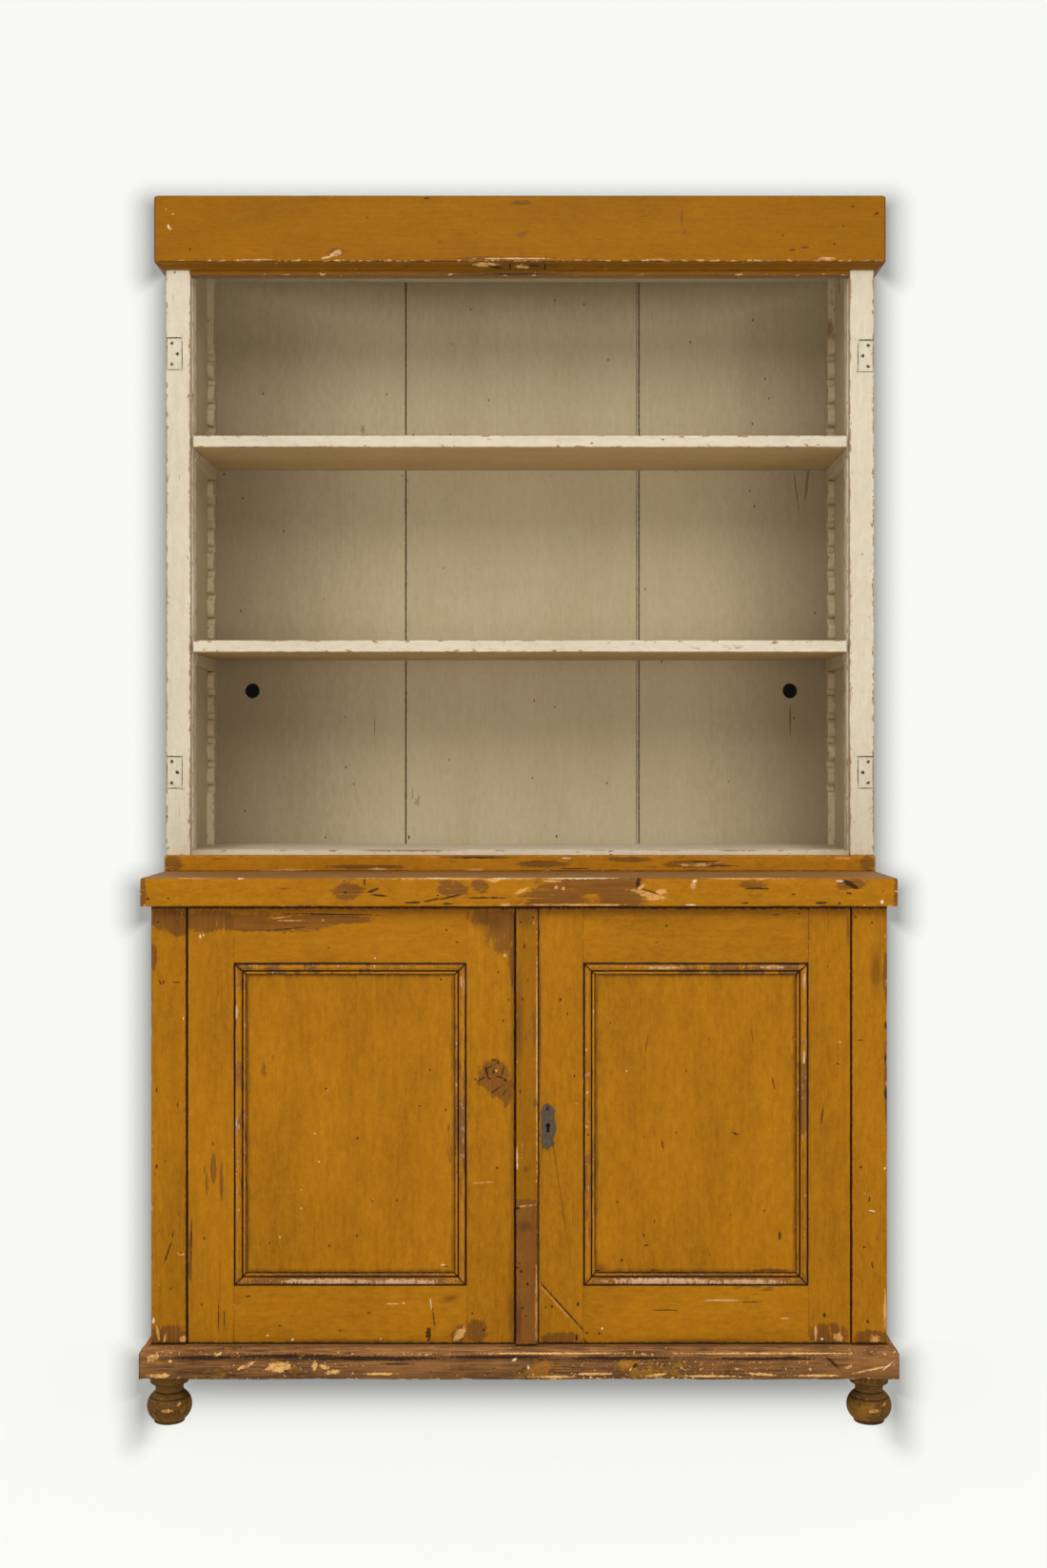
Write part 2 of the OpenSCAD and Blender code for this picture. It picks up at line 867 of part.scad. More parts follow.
module bed_mould() {
    color("peru") {
        intersection() {
            along_z(bed_z, cornice_z)
                front_run_plan(upper_x, face_y, cornice_side_out, cornice_front_out);
            along_x(-upper_x - cornice_side_out, upper_x + cornice_side_out)
                translate([face_y, 0])
                    mirror([1, 0])
                        bed_section(cornice_front_out);
        }
        for (side = [0, 1])
            mirror([side, 0, 0])
                intersection() {
                    along_z(bed_z, cornice_z)
                        side_run_plan(upper_x, face_y, cornice_side_out, cornice_front_out);
                    along_y(face_y - cornice_front_out, back_y)
                        translate([upper_x, 0])
                            bed_section(cornice_side_out);
                }
    }
}

// One board of the upper back, standing on the worktop
module upper_back_board(start, end, grooved, tongued) {
    along_z(worktop_z, ceiling_z + ceiling_t)
        board_plan(start, end, grooved, tongued);
}

// The round hole through a back board, at a place across the case
module back_hole(x) {
    translate([x, boards_rear_y + cut, floor_z + back_hole_h])
        rotate([90, 0, 0])
            cylinder(h = back_t + 2 * cut, r = back_hole_r);
}

module upper_back_left() {
    color("wheat")
        difference() {
            upper_back_board(-upper_in_x - housing, -middle_board_w / 2, false, true);
            back_hole(-upper_in_x + back_hole_in);
        }
}

module upper_back_middle() {
    color("wheat")
        upper_back_board(-middle_board_w / 2, middle_board_w / 2, true, true);
}

module upper_back_right() {
    color("wheat")
        difference() {
            upper_back_board(middle_board_w / 2, upper_in_x + housing, true, false);
            back_hole(upper_in_x - back_hole_in);
        }
}

// One notch, cut into an edge that lies at the given distance, with rounded tooth ends
module notch(edge) {
    plate([edge - notch_d, -notch_h / 2], [edge + cut, notch_h / 2]);
    for (flip = [0, 1])
        mirror([0, flip])
            rounding([edge, notch_h / 2], [-1, 1], tooth_r);
}

// Side view of a notched rail, as [distance from its plain edge, height]
module notched_profile() {
    difference() {
        plate([0, floor_z], [rail_w, ceiling_z]);
        for (i = [0 : notch_count - 1])
            translate([0, notch_z + i * notch_pitch])
                notch(rail_w);
    }
}

// Right notched rail in the front corner
module notched_rail_front_right() {
    color("cornsilk")
        along_x(rail_in_x, upper_in_x)
            translate([front_rail_y, 0])
                notched_profile();
}

// Right notched rail in the rear corner, with its teeth to the front
module notched_rail_rear_right() {
    color("cornsilk")
        along_x(rail_in_x, upper_in_x)
            translate([boards_y, 0])
                mirror([1, 0])
                    notched_profile();
}

module notched_rail_front_left() {
    mirror([1, 0, 0])
        notched_rail_front_right();
}

module notched_rail_rear_left() {
    mirror([1, 0, 0])
        notched_rail_rear_right();
}

// Side view of a batten whose tongues lie in the given notch
module batten_profile(notch) {
    z = batten_z(notch);
    tongue_in = notch_d - tongue_gap;
    plate([front_teeth_y + batten_play, z], [rear_teeth_y - batten_play, z + batten_h]);
    plate([front_teeth_y - tongue_in, z], [rear_teeth_y + tongue_in, z + notch_h - tongue_gap]);
}

// The pair of battens under one shelf
module battens(notch) {
    color("cornsilk")
        for (side = [0, 1])
            mirror([side, 0, 0])
                along_x(rail_in_x - batten_in, upper_in_x)
                    batten_profile(notch);
}

module lower_shelf_battens() {
    battens(lower_shelf_notch);
}

module upper_shelf_battens() {
    battens(upper_shelf_notch);
}

// A shelf whose corners are cut back round the notched rails
module shelf(notch) {
    z = shelf_z(notch);
    color("antiquewhite")
        intersection() {
            along_z(z, z + shelf_t)
                union() {
                    plate([-shelf_x, shelf_y], [shelf_x, shelf_rear_y]);
                    plate([-ear_x, front_teeth_y + ear_gap], [ear_x, rear_teeth_y - ear_gap]);
                }
            along_x(-ear_x, ear_x)
                difference() {
                    plate([shelf_y, z], [shelf_rear_y, z + shelf_t]);
                    rounding([shelf_y, z + shelf_t], [1, -1], shelf_round);
                    rounding([shelf_y, z], [1, 1], arris_r);
                }
        }
}

module lower_shelf() {
    shelf(lower_shelf_notch);
}

module upper_shelf() {
    shelf(upper_shelf_notch);
}

// Upright of a door frame, where inner is the edge that faces the panel
module door_stile(outer, inner) {
    way = outer < inner ? 1 : -1;
    low = min(outer, inner);
    high = max(outer, inner);
    groove = [inner - way * groove_d, inner + way * cut];
    mortise = [inner - way * tenon_l, inner + way * cut];
    difference() {
        block([low, front_y, door_z], [high, door_rear_y, door_top_z]);
        block(
            [min(groove), panel_y, frame_z - groove_d],
            [max(groove), panel_rear_y, frame_top_z + groove_d]
        );
        block(
            [min(mortise), panel_y, door_z + tenon_shoulder],
            [max(mortise), panel_rear_y, frame_z - groove_d]
        );
        block(
            [min(mortise), panel_y, frame_top_z + groove_d],
            [max(mortise), panel_rear_y, door_top_z - tenon_shoulder]
        );
    }
}

// Crosspiece of a door frame between two levels, with a tenon at each end
module door_rail(start, end, z, top, tenon_z, tenon_top, groove_z, groove_top) {
    difference() {
        union() {
            block([start, front_y, z], [end, door_rear_y, top]);
            block([start - tenon_l, panel_y, tenon_z], [end + tenon_l, panel_rear_y, tenon_top]);
        }
        block([start - cut, panel_y, groove_z], [end + cut, panel_rear_y, groove_top]);
    }
}

module top_rail(start, end) {
    color("goldenrod")
        door_rail(
            start, end, frame_top_z, door_top_z,
            frame_top_z + groove_d, door_top_z - tenon_shoulder,
            frame_top_z - cut, frame_top_z + groove_d
        );
}

module bottom_rail(start, end) {
    color("goldenrod")
        door_rail(
            start, end, door_z, frame_z,
            door_z + tenon_shoulder, frame_z - groove_d,
            frame_z - groove_d, frame_z + cut
        );
}

module door_panel(start, end) {
    color("orange")
        block(
            [start - groove_d, panel_y, frame_z - groove_d],
            [end + groove_d, panel_rear_y, frame_top_z + groove_d]
        );
}

// Section of the panel moulding, as [distance from the frame, height over the panel]
module moulding_section() {
    quirk = 1.5;
    base = 2.5;
    proud = 1.5;
    bead_in = moulding_w - moulding_bead_r;
    round_up = panel_recess + proud - moulding_round_r;
    intersection() {
        union() {
            plate([0, 0], [moulding_w, base]);
            plate([0, 0], [quirk, panel_recess / 2]);
            plate([quirk, 0], [quirk + 2 * moulding_round_r, round_up]);
            translate([quirk + moulding_round_r, round_up])
                circle(moulding_round_r);
            translate([bead_in, base])
                circle(moulding_bead_r);
        }
        plate([0, 0], [moulding_w, round_up + moulding_round_r]);
    }
}

// One side of the moulding, drawn along the foot of a frame of the given size
module moulding_side(w, h) {
    m = min(w, h) / 2 - cut;
    intersection() {
        rotate([0, -90, 0])
            mirror([0, 1, 0])
                linear_extrude(w)
                    moulding_section();
        translate([0, moulding_w, 0])
            rotate([90, 0, 0])
                linear_extrude(3 * moulding_w)
                    polygon([[0, 0], [-w, 0], [m - w, m], [-m, m]]);
    }
}

// Moulding mitred round the inside of a frame
module panel_moulding(start, end) {
    w = end - start;
    h = frame_top_z - frame_z;
    color("sienna")
        translate([start, panel_y, frame_z]) {
            translate([w, 0, 0])
                moulding_side(w, h);
            translate([0, 0, h])
                rotate([0, 180, 0])
                    moulding_side(w, h);
            rotate([0, 90, 0])
                moulding_side(h, w);
            translate([w, 0, h])
                rotate([0, -90, 0])
                    moulding_side(h, w);
        }
}

// Pins at the head and foot of a door, with the collar that carries it
module door_pivots(side) {
    color("dimgray")
        translate([side * pivot_x, pivot_y, 0]) {
            translate([0, 0, door_top_z - pivot_hold])
                cylinder(h = pivot_hold + door_head_gap + pivot_reach - cut, r = pivot_r);
            translate([0, 0, body_z - pivot_reach + cut])
                cylinder(h = pivot_reach - cut + door_foot_gap + pivot_hold, r = pivot_r);
            translate([0, 0, body_z + slide_fit])
                cylinder(h = door_foot_gap - slide_fit, r = pivot_collar_r);
        }
}

// Holes in a hinge stile that hold the pins
module pivot_holes(side) {
    for (z = [door_z - cut, door_top_z - pivot_hold])
        translate([side * pivot_x, pivot_y, z])
            cylinder(h = pivot_hold + cut, r = pivot_r);
}

module left_hinge_stile() {
    color("goldenrod")
        difference() {
            door_stile(-door_hinge_x, left_frame_x);
            pivot_holes(-1);
        }
}

module left_meeting_stile() {
    color("goldenrod")
        door_stile(left_edge_x, left_frame_end_x);
}

module left_top_rail() {
    top_rail(left_frame_x, left_frame_end_x);
}

module left_bottom_rail() {
    bottom_rail(left_frame_x, left_frame_end_x);
}

module left_panel() {
    door_panel(left_frame_x, left_frame_end_x);
}

module left_moulding() {
    panel_moulding(left_frame_x, left_frame_end_x);
}

module left_pivots() {
    door_pivots(-1);
}

// Plate on the inner face of the left door, with two loops for the bolt
module left_bolt_plate() {
    color("dimgray")
        difference() {
            union() {
                block(
                    [door_bolt_x - bolt_plate_w / 2, door_rear_y, bolt_plate_z],
                    [
                        door_bolt_x + bolt_plate_w / 2, door_rear_y + bolt_plate_t,
                        bolt_plate_z + bolt_plate_h
                    ]
                );
                for (z = [bolt_low_loop_z, bolt_high_loop_z])
                    block(
                        [door_bolt_x - bolt_loop_w / 2, door_rear_y, z],
                        [
                            door_bolt_x + bolt_loop_w / 2,
                            door_bolt_y + door_bolt_r + bolt_loop_wall, z + bolt_loop_h
                        ]
                    );
            }
            translate([door_bolt_x, door_bolt_y, bolt_plate_z])
                cylinder(h = bolt_plate_h, r = door_bolt_r + pivot_fit);
        }
}

// Round bolt that shoots up into the worktop, with its knob to the inside
module left_bolt() {
    color("gray") {
        translate([door_bolt_x, door_bolt_y, door_bolt_z])
            cylinder(h = door_bolt_l, r = door_bolt_r);
        translate([door_bolt_x, door_bolt_y + bolt_knob_l, bolt_knob_z + bolt_knob_r])
            rotate([90, 0, 0])
                cylinder(h = bolt_knob_l, r = bolt_knob_r);
    }
}

module right_hinge_stile() {
    color("goldenrod")
        difference() {
            door_stile(door_hinge_x, right_frame_end_x);
            pivot_holes(1);
        }
}

// Keyhole as seen from the front, round the middle of its head, with a rounded foot
module keyhole() {
    circle(keyhole_r);
    foot_z = keyhole_r + keyhole_slot_w / 2 - keyhole_h;
    plate([-keyhole_slot_w / 2, foot_z], [keyhole_slot_w / 2, 0]);
    translate([0, foot_z])
        circle(keyhole_slot_w / 2);
}

// Carries a shape drawn as [x, z] round the keyhole from one plane back to another
module through_lock(start, end) {
    translate([lock_x, 0, lock_z])
        along_y(start, end)
            children();
}

module right_meeting_stile() {
    color("goldenrod")
        difference() {
            door_stile(right_edge_x, right_frame_x);
            through_lock(front_y - cut, door_rear_y + cut)
                keyhole();
        }
}

module right_top_rail() {
    top_rail(right_frame_x, right_frame_end_x);
}

module right_bottom_rail() {
    bottom_rail(right_frame_x, right_frame_end_x);
}

module right_panel() {
    door_panel(right_frame_x, right_frame_end_x);
}

module right_moulding() {
    panel_moulding(right_frame_x, right_frame_end_x);
}

module right_pivots() {
    door_pivots(1);
}

// A length of the strip planted on the edge of the right door
module strip_length(start, end) {
    along_z(start, end)
        difference() {
            plate([right_edge_x, front_y - strip_t], [right_edge_x + strip_w, front_y]);
            rounding([right_edge_x + strip_w, front_y - strip_t], [-1, 1], strip_round);
            rounding([right_edge_x, front_y - strip_t], [1, 1], small_arris_r);
        }
}

module meeting_strip() {
    color("goldenrod")
        strip_length(door_z + strip_patch_h, door_top_z);
}

module strip_patch() {
    color("sienna")
        strip_length(door_z, door_z + strip_patch_h);
}

// Outline of the iron plate round the keyhole: a straight left side, a bowed right side,
// a pointed head over a shoulder at each side, and three small cusps at the foot
module escutcheon_outline() {
    bow_r = 30;
    bow_z = -4;
    waist_z = 17;
    neck_x = escutcheon_right - 3.5;
    shoulder_z = 24.5;
    shoulder_out = 2;
    foot_z = 16 - escutcheon_down;
    heel_h = 8;
    heel_x = escutcheon_right - 6;
    cusp_r = 3;
    point_w = 5;
    intersection() {
        translate([escutcheon_right - bow_r, bow_z])
            circle(bow_r);
        plate([-escutcheon_left, foot_z], [escutcheon_right + cut, waist_z]);
    }
    polygon([
        [-escutcheon_left, 0], [neck_x, 0], [neck_x, shoulder_z - shoulder_out],
        [neck_x + shoulder_out, shoulder_z], [0, escutcheon_up],
        [shoulder_out - escutcheon_left, shoulder_z + heel_h], [-escutcheon_left, shoulder_z],
        [-escutcheon_left - shoulder_out, shoulder_z - 2 * shoulder_out],
        [-escutcheon_left, waist_z]
    ]);
    plate([-escutcheon_left, foot_z - heel_h], [heel_x, foot_z + cut]);
    translate([cusp_r - escutcheon_left, foot_z - heel_h])
        circle(cusp_r);
    translate([heel_x, foot_z - heel_h / 2])
        circle(cusp_r);
    polygon([
        [-cut, -escutcheon_down], [point_w, foot_z - heel_h + cut], [point_w, foot_z],
        [-point_w, foot_z], [-point_w, foot_z - heel_h + cut]
    ]);
}

module escutcheon() {
    screw_down = 7.5;
    color("dimgray")
        through_lock(front_y - escutcheon_t, front_y)
            difference() {
                escutcheon_outline();
                keyhole();
                translate([0, escutcheon_up - screw_down])
                    circle(screw_r, $fn = 24);
            }
}

// Iron case on the inner face of the right door, with the way for its bolt
module lock_case() {
    bolt_half = lock_bolt_h / 2 + slide_fit;
    color("dimgray")
        difference() {
            block(
                [lock_case_x, door_rear_y, lock_z - lock_case_h / 2],
                [lock_case_x + lock_case_w, door_rear_y + lock_case_t, lock_z + lock_case_h / 2]
            );
            block(
                [lock_case_x - cut, lock_bolt_y - slide_fit, lock_z - bolt_half],
                [
                    lock_case_x + lock_bolt_l + slide_fit,
                    lock_bolt_y + lock_bolt_t + slide_fit, lock_z + bolt_half
                ]
            );
        }
}

module lock_bolt() {
    color("gray")
        along_z(lock_z - lock_bolt_h / 2, lock_z + lock_bolt_h / 2)
            difference() {
                plate(
                    [lock_case_x, lock_bolt_y],
                    [lock_case_x + lock_bolt_l, lock_bolt_y + lock_bolt_t]
                );
                rounding([lock_case_x, lock_bolt_y], [1, 1], small_arris_r);
            }
}

plinth_front();
plinth_left();
plinth_right();
foot_front_left();
foot_front_right();
rear_feet();
sill_rail();
bottom_board();
lower_side_left();
lower_side_right();
corner_stile_left();
corner_stile_right();
lower_back_boards();
cupboard_shelf();
top_stretcher();
worktop();
base_rail();
upper_floor();
upper_side_left();
upper_side_right();
face_stile_left();
face_stile_right();
head_rail();
ceiling_board();
cornice_front();
cornice_left();
cornice_right();
bed_mould();
upper_back_left();
upper_back_middle();
upper_back_right();
notched_rail_front_left();
notched_rail_front_right();
notched_rail_rear_left();
notched_rail_rear_right();
lower_shelf_battens();
upper_shelf_battens();
lower_shelf();
upper_shelf();
left_hinge_stile();
left_meeting_stile();
left_top_rail();
left_bottom_rail();
left_panel();
left_moulding();
left_pivots();
left_bolt_plate();
left_bolt();
right_hinge_stile();
right_meeting_stile();
right_top_rail();
right_bottom_rail();
right_panel();
right_moulding();
right_pivots();
meeting_strip();
strip_patch();
escutcheon();
lock_case();
lock_bolt();
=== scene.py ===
"""Looks of a two-stage shop cabinet: ochre paint outside, cream paint in the open upper case.

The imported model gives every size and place. Each CAD piece keeps its shape and gets the finish of
the real one, and the pieces whose worn shape shows (cornice, plinth, mouldings, feet and the like)
are worked out here as surfaces with knocked arrises, inside the boxes of the nodes they stand for.
"""

from __future__ import annotations

import logging
import math
import zlib
from dataclasses import dataclass, field
from enum import Enum
from statistics import NormalDist

import bpy
import numpy as np
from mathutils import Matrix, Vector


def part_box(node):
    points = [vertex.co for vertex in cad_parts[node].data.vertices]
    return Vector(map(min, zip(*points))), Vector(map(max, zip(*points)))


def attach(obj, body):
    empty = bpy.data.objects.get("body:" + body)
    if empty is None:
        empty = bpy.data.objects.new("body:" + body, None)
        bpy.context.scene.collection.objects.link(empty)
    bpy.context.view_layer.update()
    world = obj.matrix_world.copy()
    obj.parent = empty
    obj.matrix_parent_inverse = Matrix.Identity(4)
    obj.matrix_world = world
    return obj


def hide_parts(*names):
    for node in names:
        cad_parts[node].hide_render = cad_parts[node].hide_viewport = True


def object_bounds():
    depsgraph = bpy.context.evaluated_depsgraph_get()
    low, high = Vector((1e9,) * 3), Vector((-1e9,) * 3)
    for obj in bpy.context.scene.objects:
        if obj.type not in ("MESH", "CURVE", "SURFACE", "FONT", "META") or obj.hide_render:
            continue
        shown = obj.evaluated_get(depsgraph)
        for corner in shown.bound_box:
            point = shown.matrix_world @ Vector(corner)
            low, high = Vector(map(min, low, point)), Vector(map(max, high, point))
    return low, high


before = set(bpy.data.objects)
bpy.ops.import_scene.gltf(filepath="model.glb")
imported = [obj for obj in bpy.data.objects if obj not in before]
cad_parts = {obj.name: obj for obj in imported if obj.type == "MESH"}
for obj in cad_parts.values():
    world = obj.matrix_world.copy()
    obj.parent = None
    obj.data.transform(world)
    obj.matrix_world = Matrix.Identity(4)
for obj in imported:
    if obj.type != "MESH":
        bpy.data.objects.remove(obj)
cad_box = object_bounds()

log = logging.getLogger("shop_cabinet")

MM = 0.001
# The names of the attributes that a worked-out surface carries.
WEAR = "wear"
GRIME = "grime"
# The size in mm of a mark that crosses its whole board.
WHOLE = 9000

Vec3 = tuple[float, float, float]
Pair = tuple[float, float]
Ends = tuple[str, str]
Socket = bpy.types.NodeSocket
Tree = bpy.types.NodeTree
Material = bpy.types.Material
Object = bpy.types.Object

# Inputs go by index where a node's names repeat. On a MapRange, 0 is the value, 1 and 2 are the
# range that it comes from, and 3 and 4 the range that it goes to. On a Mix, 0 is the share, 2 and 3
# are the two numbers, and 6 and 7 the two colours, whose mix is output 2. The settings below make a
# Mix take colours, a Math give 0 times 1 plus 2, and a MapRange begin and end softly.
COLOUR = {"data_type": "RGBA"}
SUM = {"operation": "MULTIPLY_ADD"}
SOFT = {"interpolation_type": "SMOOTHSTEP"}


def linear(hex_code: str) -> tuple[float, float, float, float]:
    """Turn an sRGB hex value into the linear colour that a shader takes.

    Args:
        hex_code: The colour as "#RRGGBB".

    Returns:
        Red, green, blue and an alpha of 1.
    """
    parts = [int(hex_code[i : i + 2], 16) / 255 for i in (1, 3, 5)]
    red, green, blue = (p / 12.92 if p <= 0.04045 else ((p + 0.055) / 1.055) ** 2.4 for p in parts)
    return red, green, blue, 1.0


def add(tree: Tree, kind: str, inputs: dict, output: int | str = 0, **settings: object) -> Socket:
    """Add one node, with its settings made and its inputs filled or linked.

    Args:
        tree: The node tree that gets the node.
        kind: The node's type, without Blender's prefix for a shader node.
        inputs: A value or a socket for each input, by index or name.
        output: The output that is wanted, by index or name.
        settings: The node's own properties.

    Returns:
        The wanted output socket. Its node attribute gives the node.
    """
    node = tree.nodes.new(f"ShaderNode{kind}")
    for name, value in settings.items():
        setattr(node, name, value)
    for key, value in inputs.items():
        if isinstance(value, bpy.types.NodeSocket):
            tree.links.new(value, node.inputs[key])
        else:
            node.inputs[key].default_value = value
    return node.outputs[output]


def emptied(owner: Material | bpy.types.World) -> Tree:
    """Turn on the nodes of a material or a world and return its empty tree."""
    owner.use_nodes = True
    owner.node_tree.nodes.clear()
    return owner.node_tree


def blank(name: str) -> tuple[Material, Tree]:
    """Make a material and return it with its empty tree."""
    material = bpy.data.materials.new(name)
    return material, emptied(material)


def show(tree: Tree, shader: Socket, kind: str = "OutputMaterial") -> None:
    """Link a finished shader to the tree's output."""
    tree.links.new(shader, tree.nodes.new(f"ShaderNode{kind}").inputs["Surface"])


def seed_of(label: str) -> int:
    """Return a number that is always the same for a label."""
    return zlib.crc32(label.encode()) % 9973


def shift_of(label: str) -> Vec3:
    """Return a shift for a board's patterns, so that no two boards match."""
    number = seed_of(label)
    return number % 97 * 0.37, number % 89 * 0.41, number % 83 * 0.43


def placed(name: str, data: bpy.types.ID) -> Object:
    """Make an object at the origin and link it to the scene."""
    item = bpy.data.objects.new(name, data)
    bpy.context.scene.collection.objects.link(item)
    return item


class Grain(Enum):
    """The way that the grain of a board runs."""

    ACROSS = 0
    DEEP = 1
    UP = 2

    def stretch(self, along: float, over: float) -> Vec3:
        """Return the rates per metre of a pattern that measures along by over mm on this grain."""
        rates = [1 / (over * MM)] * 3
        rates[self.value] = 1 / (along * MM)
        return tuple(rates)

    def noise(
        self, tree: Tree, place: Socket, seed: Vec3, along: float, over: float, **inputs: float
    ) -> Socket:
        """Add noise that is drawn out along the grain.

        Args:
            tree: The node tree.
            place: The socket with the place in metres.
            seed: The shift of the pattern.
            along: The size of a blot along the grain, in mm.
            over: Its size over the grain.
            inputs: The noise's other inputs.

        Returns:
            The socket with the noise, about 0.5 on average.
        """
        at = add(tree, "Mapping", {0: place, "Location": seed, "Scale": self.stretch(along, over)})
        return add(tree, "TexNoise", {"Vector": at, "Scale": 1.0, **inputs})


ACROSS, DEEP, UP = Grain


class Flaw(Enum):
    """What has happened to the paint at a mark."""

    WORN = "rubbed through to the brown undercoat"
    SCAR = "area where the paint has come off in many chips"
    BARE = "knocked off down to pale wood"
    # Some dark marks are painted shade: the black band under the worktop's overhang, the steps of
    # the hinge recesses, and the stile seen through the escutcheon's holes.
    DARK = "gouge, hole or crack that is filled with grime"
    CHALK = "spot of white paint"
    # The soft darkening is partly dust and hands and partly painted shade: under the worktop, the
    # cornice and the head rail, in the corners inside the case, beside the meeting strip and along
    # the panels.
    DUST_AND_SHADE = "soft darkening from dust, hands and painted shade"


WORN, SCAR, BARE, DARK, CHALK, DUST_AND_SHADE = Flaw


@dataclass(frozen=True)
class Outline:
    """How the marks of one kind end.

    A mark begins at outer and is at its full strength at inner, in half sizes from its middle, and
    ragged is how far noise moves that.
    """

    outer: float
    inner: float
    ragged: float
    strength: float = 1.0


OUTLINES = {
    WORN: Outline(1.4, 1.1, 0.9, 0.85), SCAR: Outline(1.1, 0.5, 0.6), BARE: Outline(1.1, 0.95, 2.4),
    DARK: Outline(1.1, 0.7, 1.8, 0.85), CHALK: Outline(0.9, 0.6, 1.6, 0.85),
    DUST_AND_SHADE: Outline(1.0, 0.1, 0.12, 0.6),
}


@dataclass(frozen=True)
class Mark:
    """One mark on a painted face, an ellipse with a ragged outline.

    Sizes are in mm in the cabinet's frame, turn is in degrees, anticlockwise from the front, and
    depth is how far the mark reaches before and behind y, which is None on a board's front face.
    """

    flaw: Flaw
    x: float
    z: float
    width: float
    height: float
    turn: float = 0.0
    y: float | None = None
    depth: float = 14.0

    def distance(self, tree: Tree, place: Socket, front: float) -> Socket:
        """Add the distance from the mark's middle in half sizes, so that it is 1 at the outline.

        Args:
            tree: The node tree.
            place: The socket with the place in metres.
            front: The front face of the mark's board in metres.

        Returns:
            The distance's socket.
        """
        y = front if self.y is None else self.y * MM
        inputs = {
            0: place, "Location": (self.x * MM, y, self.z * MM),
            "Rotation": (0.0, -math.radians(self.turn), 0.0),
            "Scale": (self.width / 2 * MM, self.depth * MM, self.height / 2 * MM),
        }
        local = add(tree, "Mapping", inputs, vector_type="TEXTURE")
        return add(tree, "VectorMath", {0: local}, output=1, operation="LENGTH")


Marks = tuple[Mark, ...]


def spots(
    flaw: Flaw, *rows: tuple[float, ...], y: float | None = None, depth: float = 14.0
) -> Marks:
    """Return marks of one kind, each from a row with its x, z, width, height and perhaps turn."""
    return tuple(Mark(flaw, *row, y=y, depth=depth) for row in rows)


@dataclass(frozen=True)
class Coat:
    """The colours of an old coat of paint, from fresh to gone, as sRGB hex values."""

    name: str
    fresh: str
    deep: str
    worn: str
    worn_deep: str
    bare: str
    # grime also colours the dark marks that are painted shade, and the colour after it that of the
    # soft darkening, which is partly dust and partly painted shade.
    grime: str
    dust_and_shade_tone: str
    gloss: float = 0.56
    shine: float = 0.1
    chalk: str = "#DCCBA8"


# Mustard oil paint, brushed on over a brown ground: dull satin, and brown where hands wore it thin.
OCHRE = Coat(
    "ochre oil paint", "#B27408", "#835300", "#774A18", "#5A3510", "#C89250", "#1A0D05", "#573409"
)
# The same paint on the worktop's upper side, wiped and scrubbed until it is more brown than yellow.
OCHRE_TOP = Coat(
    "rubbed ochre paint", "#9B7040", "#764F26", "#80541F", "#6A4417", "#D2A870", "#24130A",
    "#5E3A0C",
)
# The same paint on the cornice, out of reach and a little darker.
OCHRE_CORNICE = Coat(
    "ochre oil paint", "#9D6400", "#7E4E00", "#7E511D", "#583816", "#CFA069", "#26150A", "#5C3A12"
)
# The same paint where the upper case rests, in the shade and often knocked.
OCHRE_RAIL = Coat(
    "ochre oil paint", "#BA7A10", "#925C02", "#7B4F1B", "#553512", "#C79655", "#24130A", "#5C3A12"
)
# The same paint on the mouldings, rubbed by dusting down to the brown.
OCHRE_MOULDING = Coat(
    "worn ochre paint", "#B97A12", "#905C08", "#80562A", "#583817", "#C29A74", "#1C0F07", "#5C3A12"
)
# The same paint on the meeting strip, handled at each opening.
OCHRE_STRIP = Coat(
    "ochre oil paint", "#9A6200", "#7D4F00", "#7A501B", "#5A3A16", "#D0A05E", "#1E0F06", "#5C3A12"
)
# Brown stain on the new lower length of the strip.
BROWN_STRIP = Coat(
    "brown stain", "#85531A", "#623B10", "#6A4619", "#51320F", "#B98248", "#24140A", "#4A2E12"
)
# The ochre paint on plinth and feet, where boots and mops have left it mostly brown.
WORN_OCHRE = Coat(
    "worn ochre paint", "#B87C2A", "#9A681D", "#99683A", "#3C2917", "#DDAC66", "#1F120A", "#3A2817"
)
# The same on the feet, which have taken the floor's dirt.
FOOT_OCHRE = Coat(
    "worn ochre paint", "#966828", "#775016", "#6E4D20", "#3C2A13", "#D09A50", "#1F120A", "#36260F"
)
# Cream oil paint of the face stiles and shelves: clean and satin, brown where it has chipped.
CREAM = Coat(
    "cream oil paint", "#D9CEB8", "#C2B59B", "#A88552", "#6E4C28", "#A87A48", "#2A1A0D", "#8F7852"
)
# The same cream on the boards inside, dulled by dust and smoke, and darker still as painted shade
# for the dim inside of the case.
AGED_SHADED_CREAM = Coat(
    "aged and shaded cream paint", "#C6B696", "#B4A381", "#8E7350", "#6A5232", "#8F6A3E", "#2A1B0D", "#5F4D31"
)
# The same again under the shelves, darker as painted shade on their undersides.
SHADED_UNDERSIDE_CREAM = Coat(
    "aged and shaded cream paint", "#BEA173", "#A18558", "#8E7350", "#6A5232", "#8F6A3E", "#2A1B0D", "#57442A"
)
# And under the head rail, the darkest of all: painted shade.
HEAD_SHADE_CREAM = Coat(
    "aged and shaded cream paint", "#8B724F", "#715A3C", "#6A5232", "#4B3A22", "#8F6A3E", "#2A1B0D", "#57442A"
)


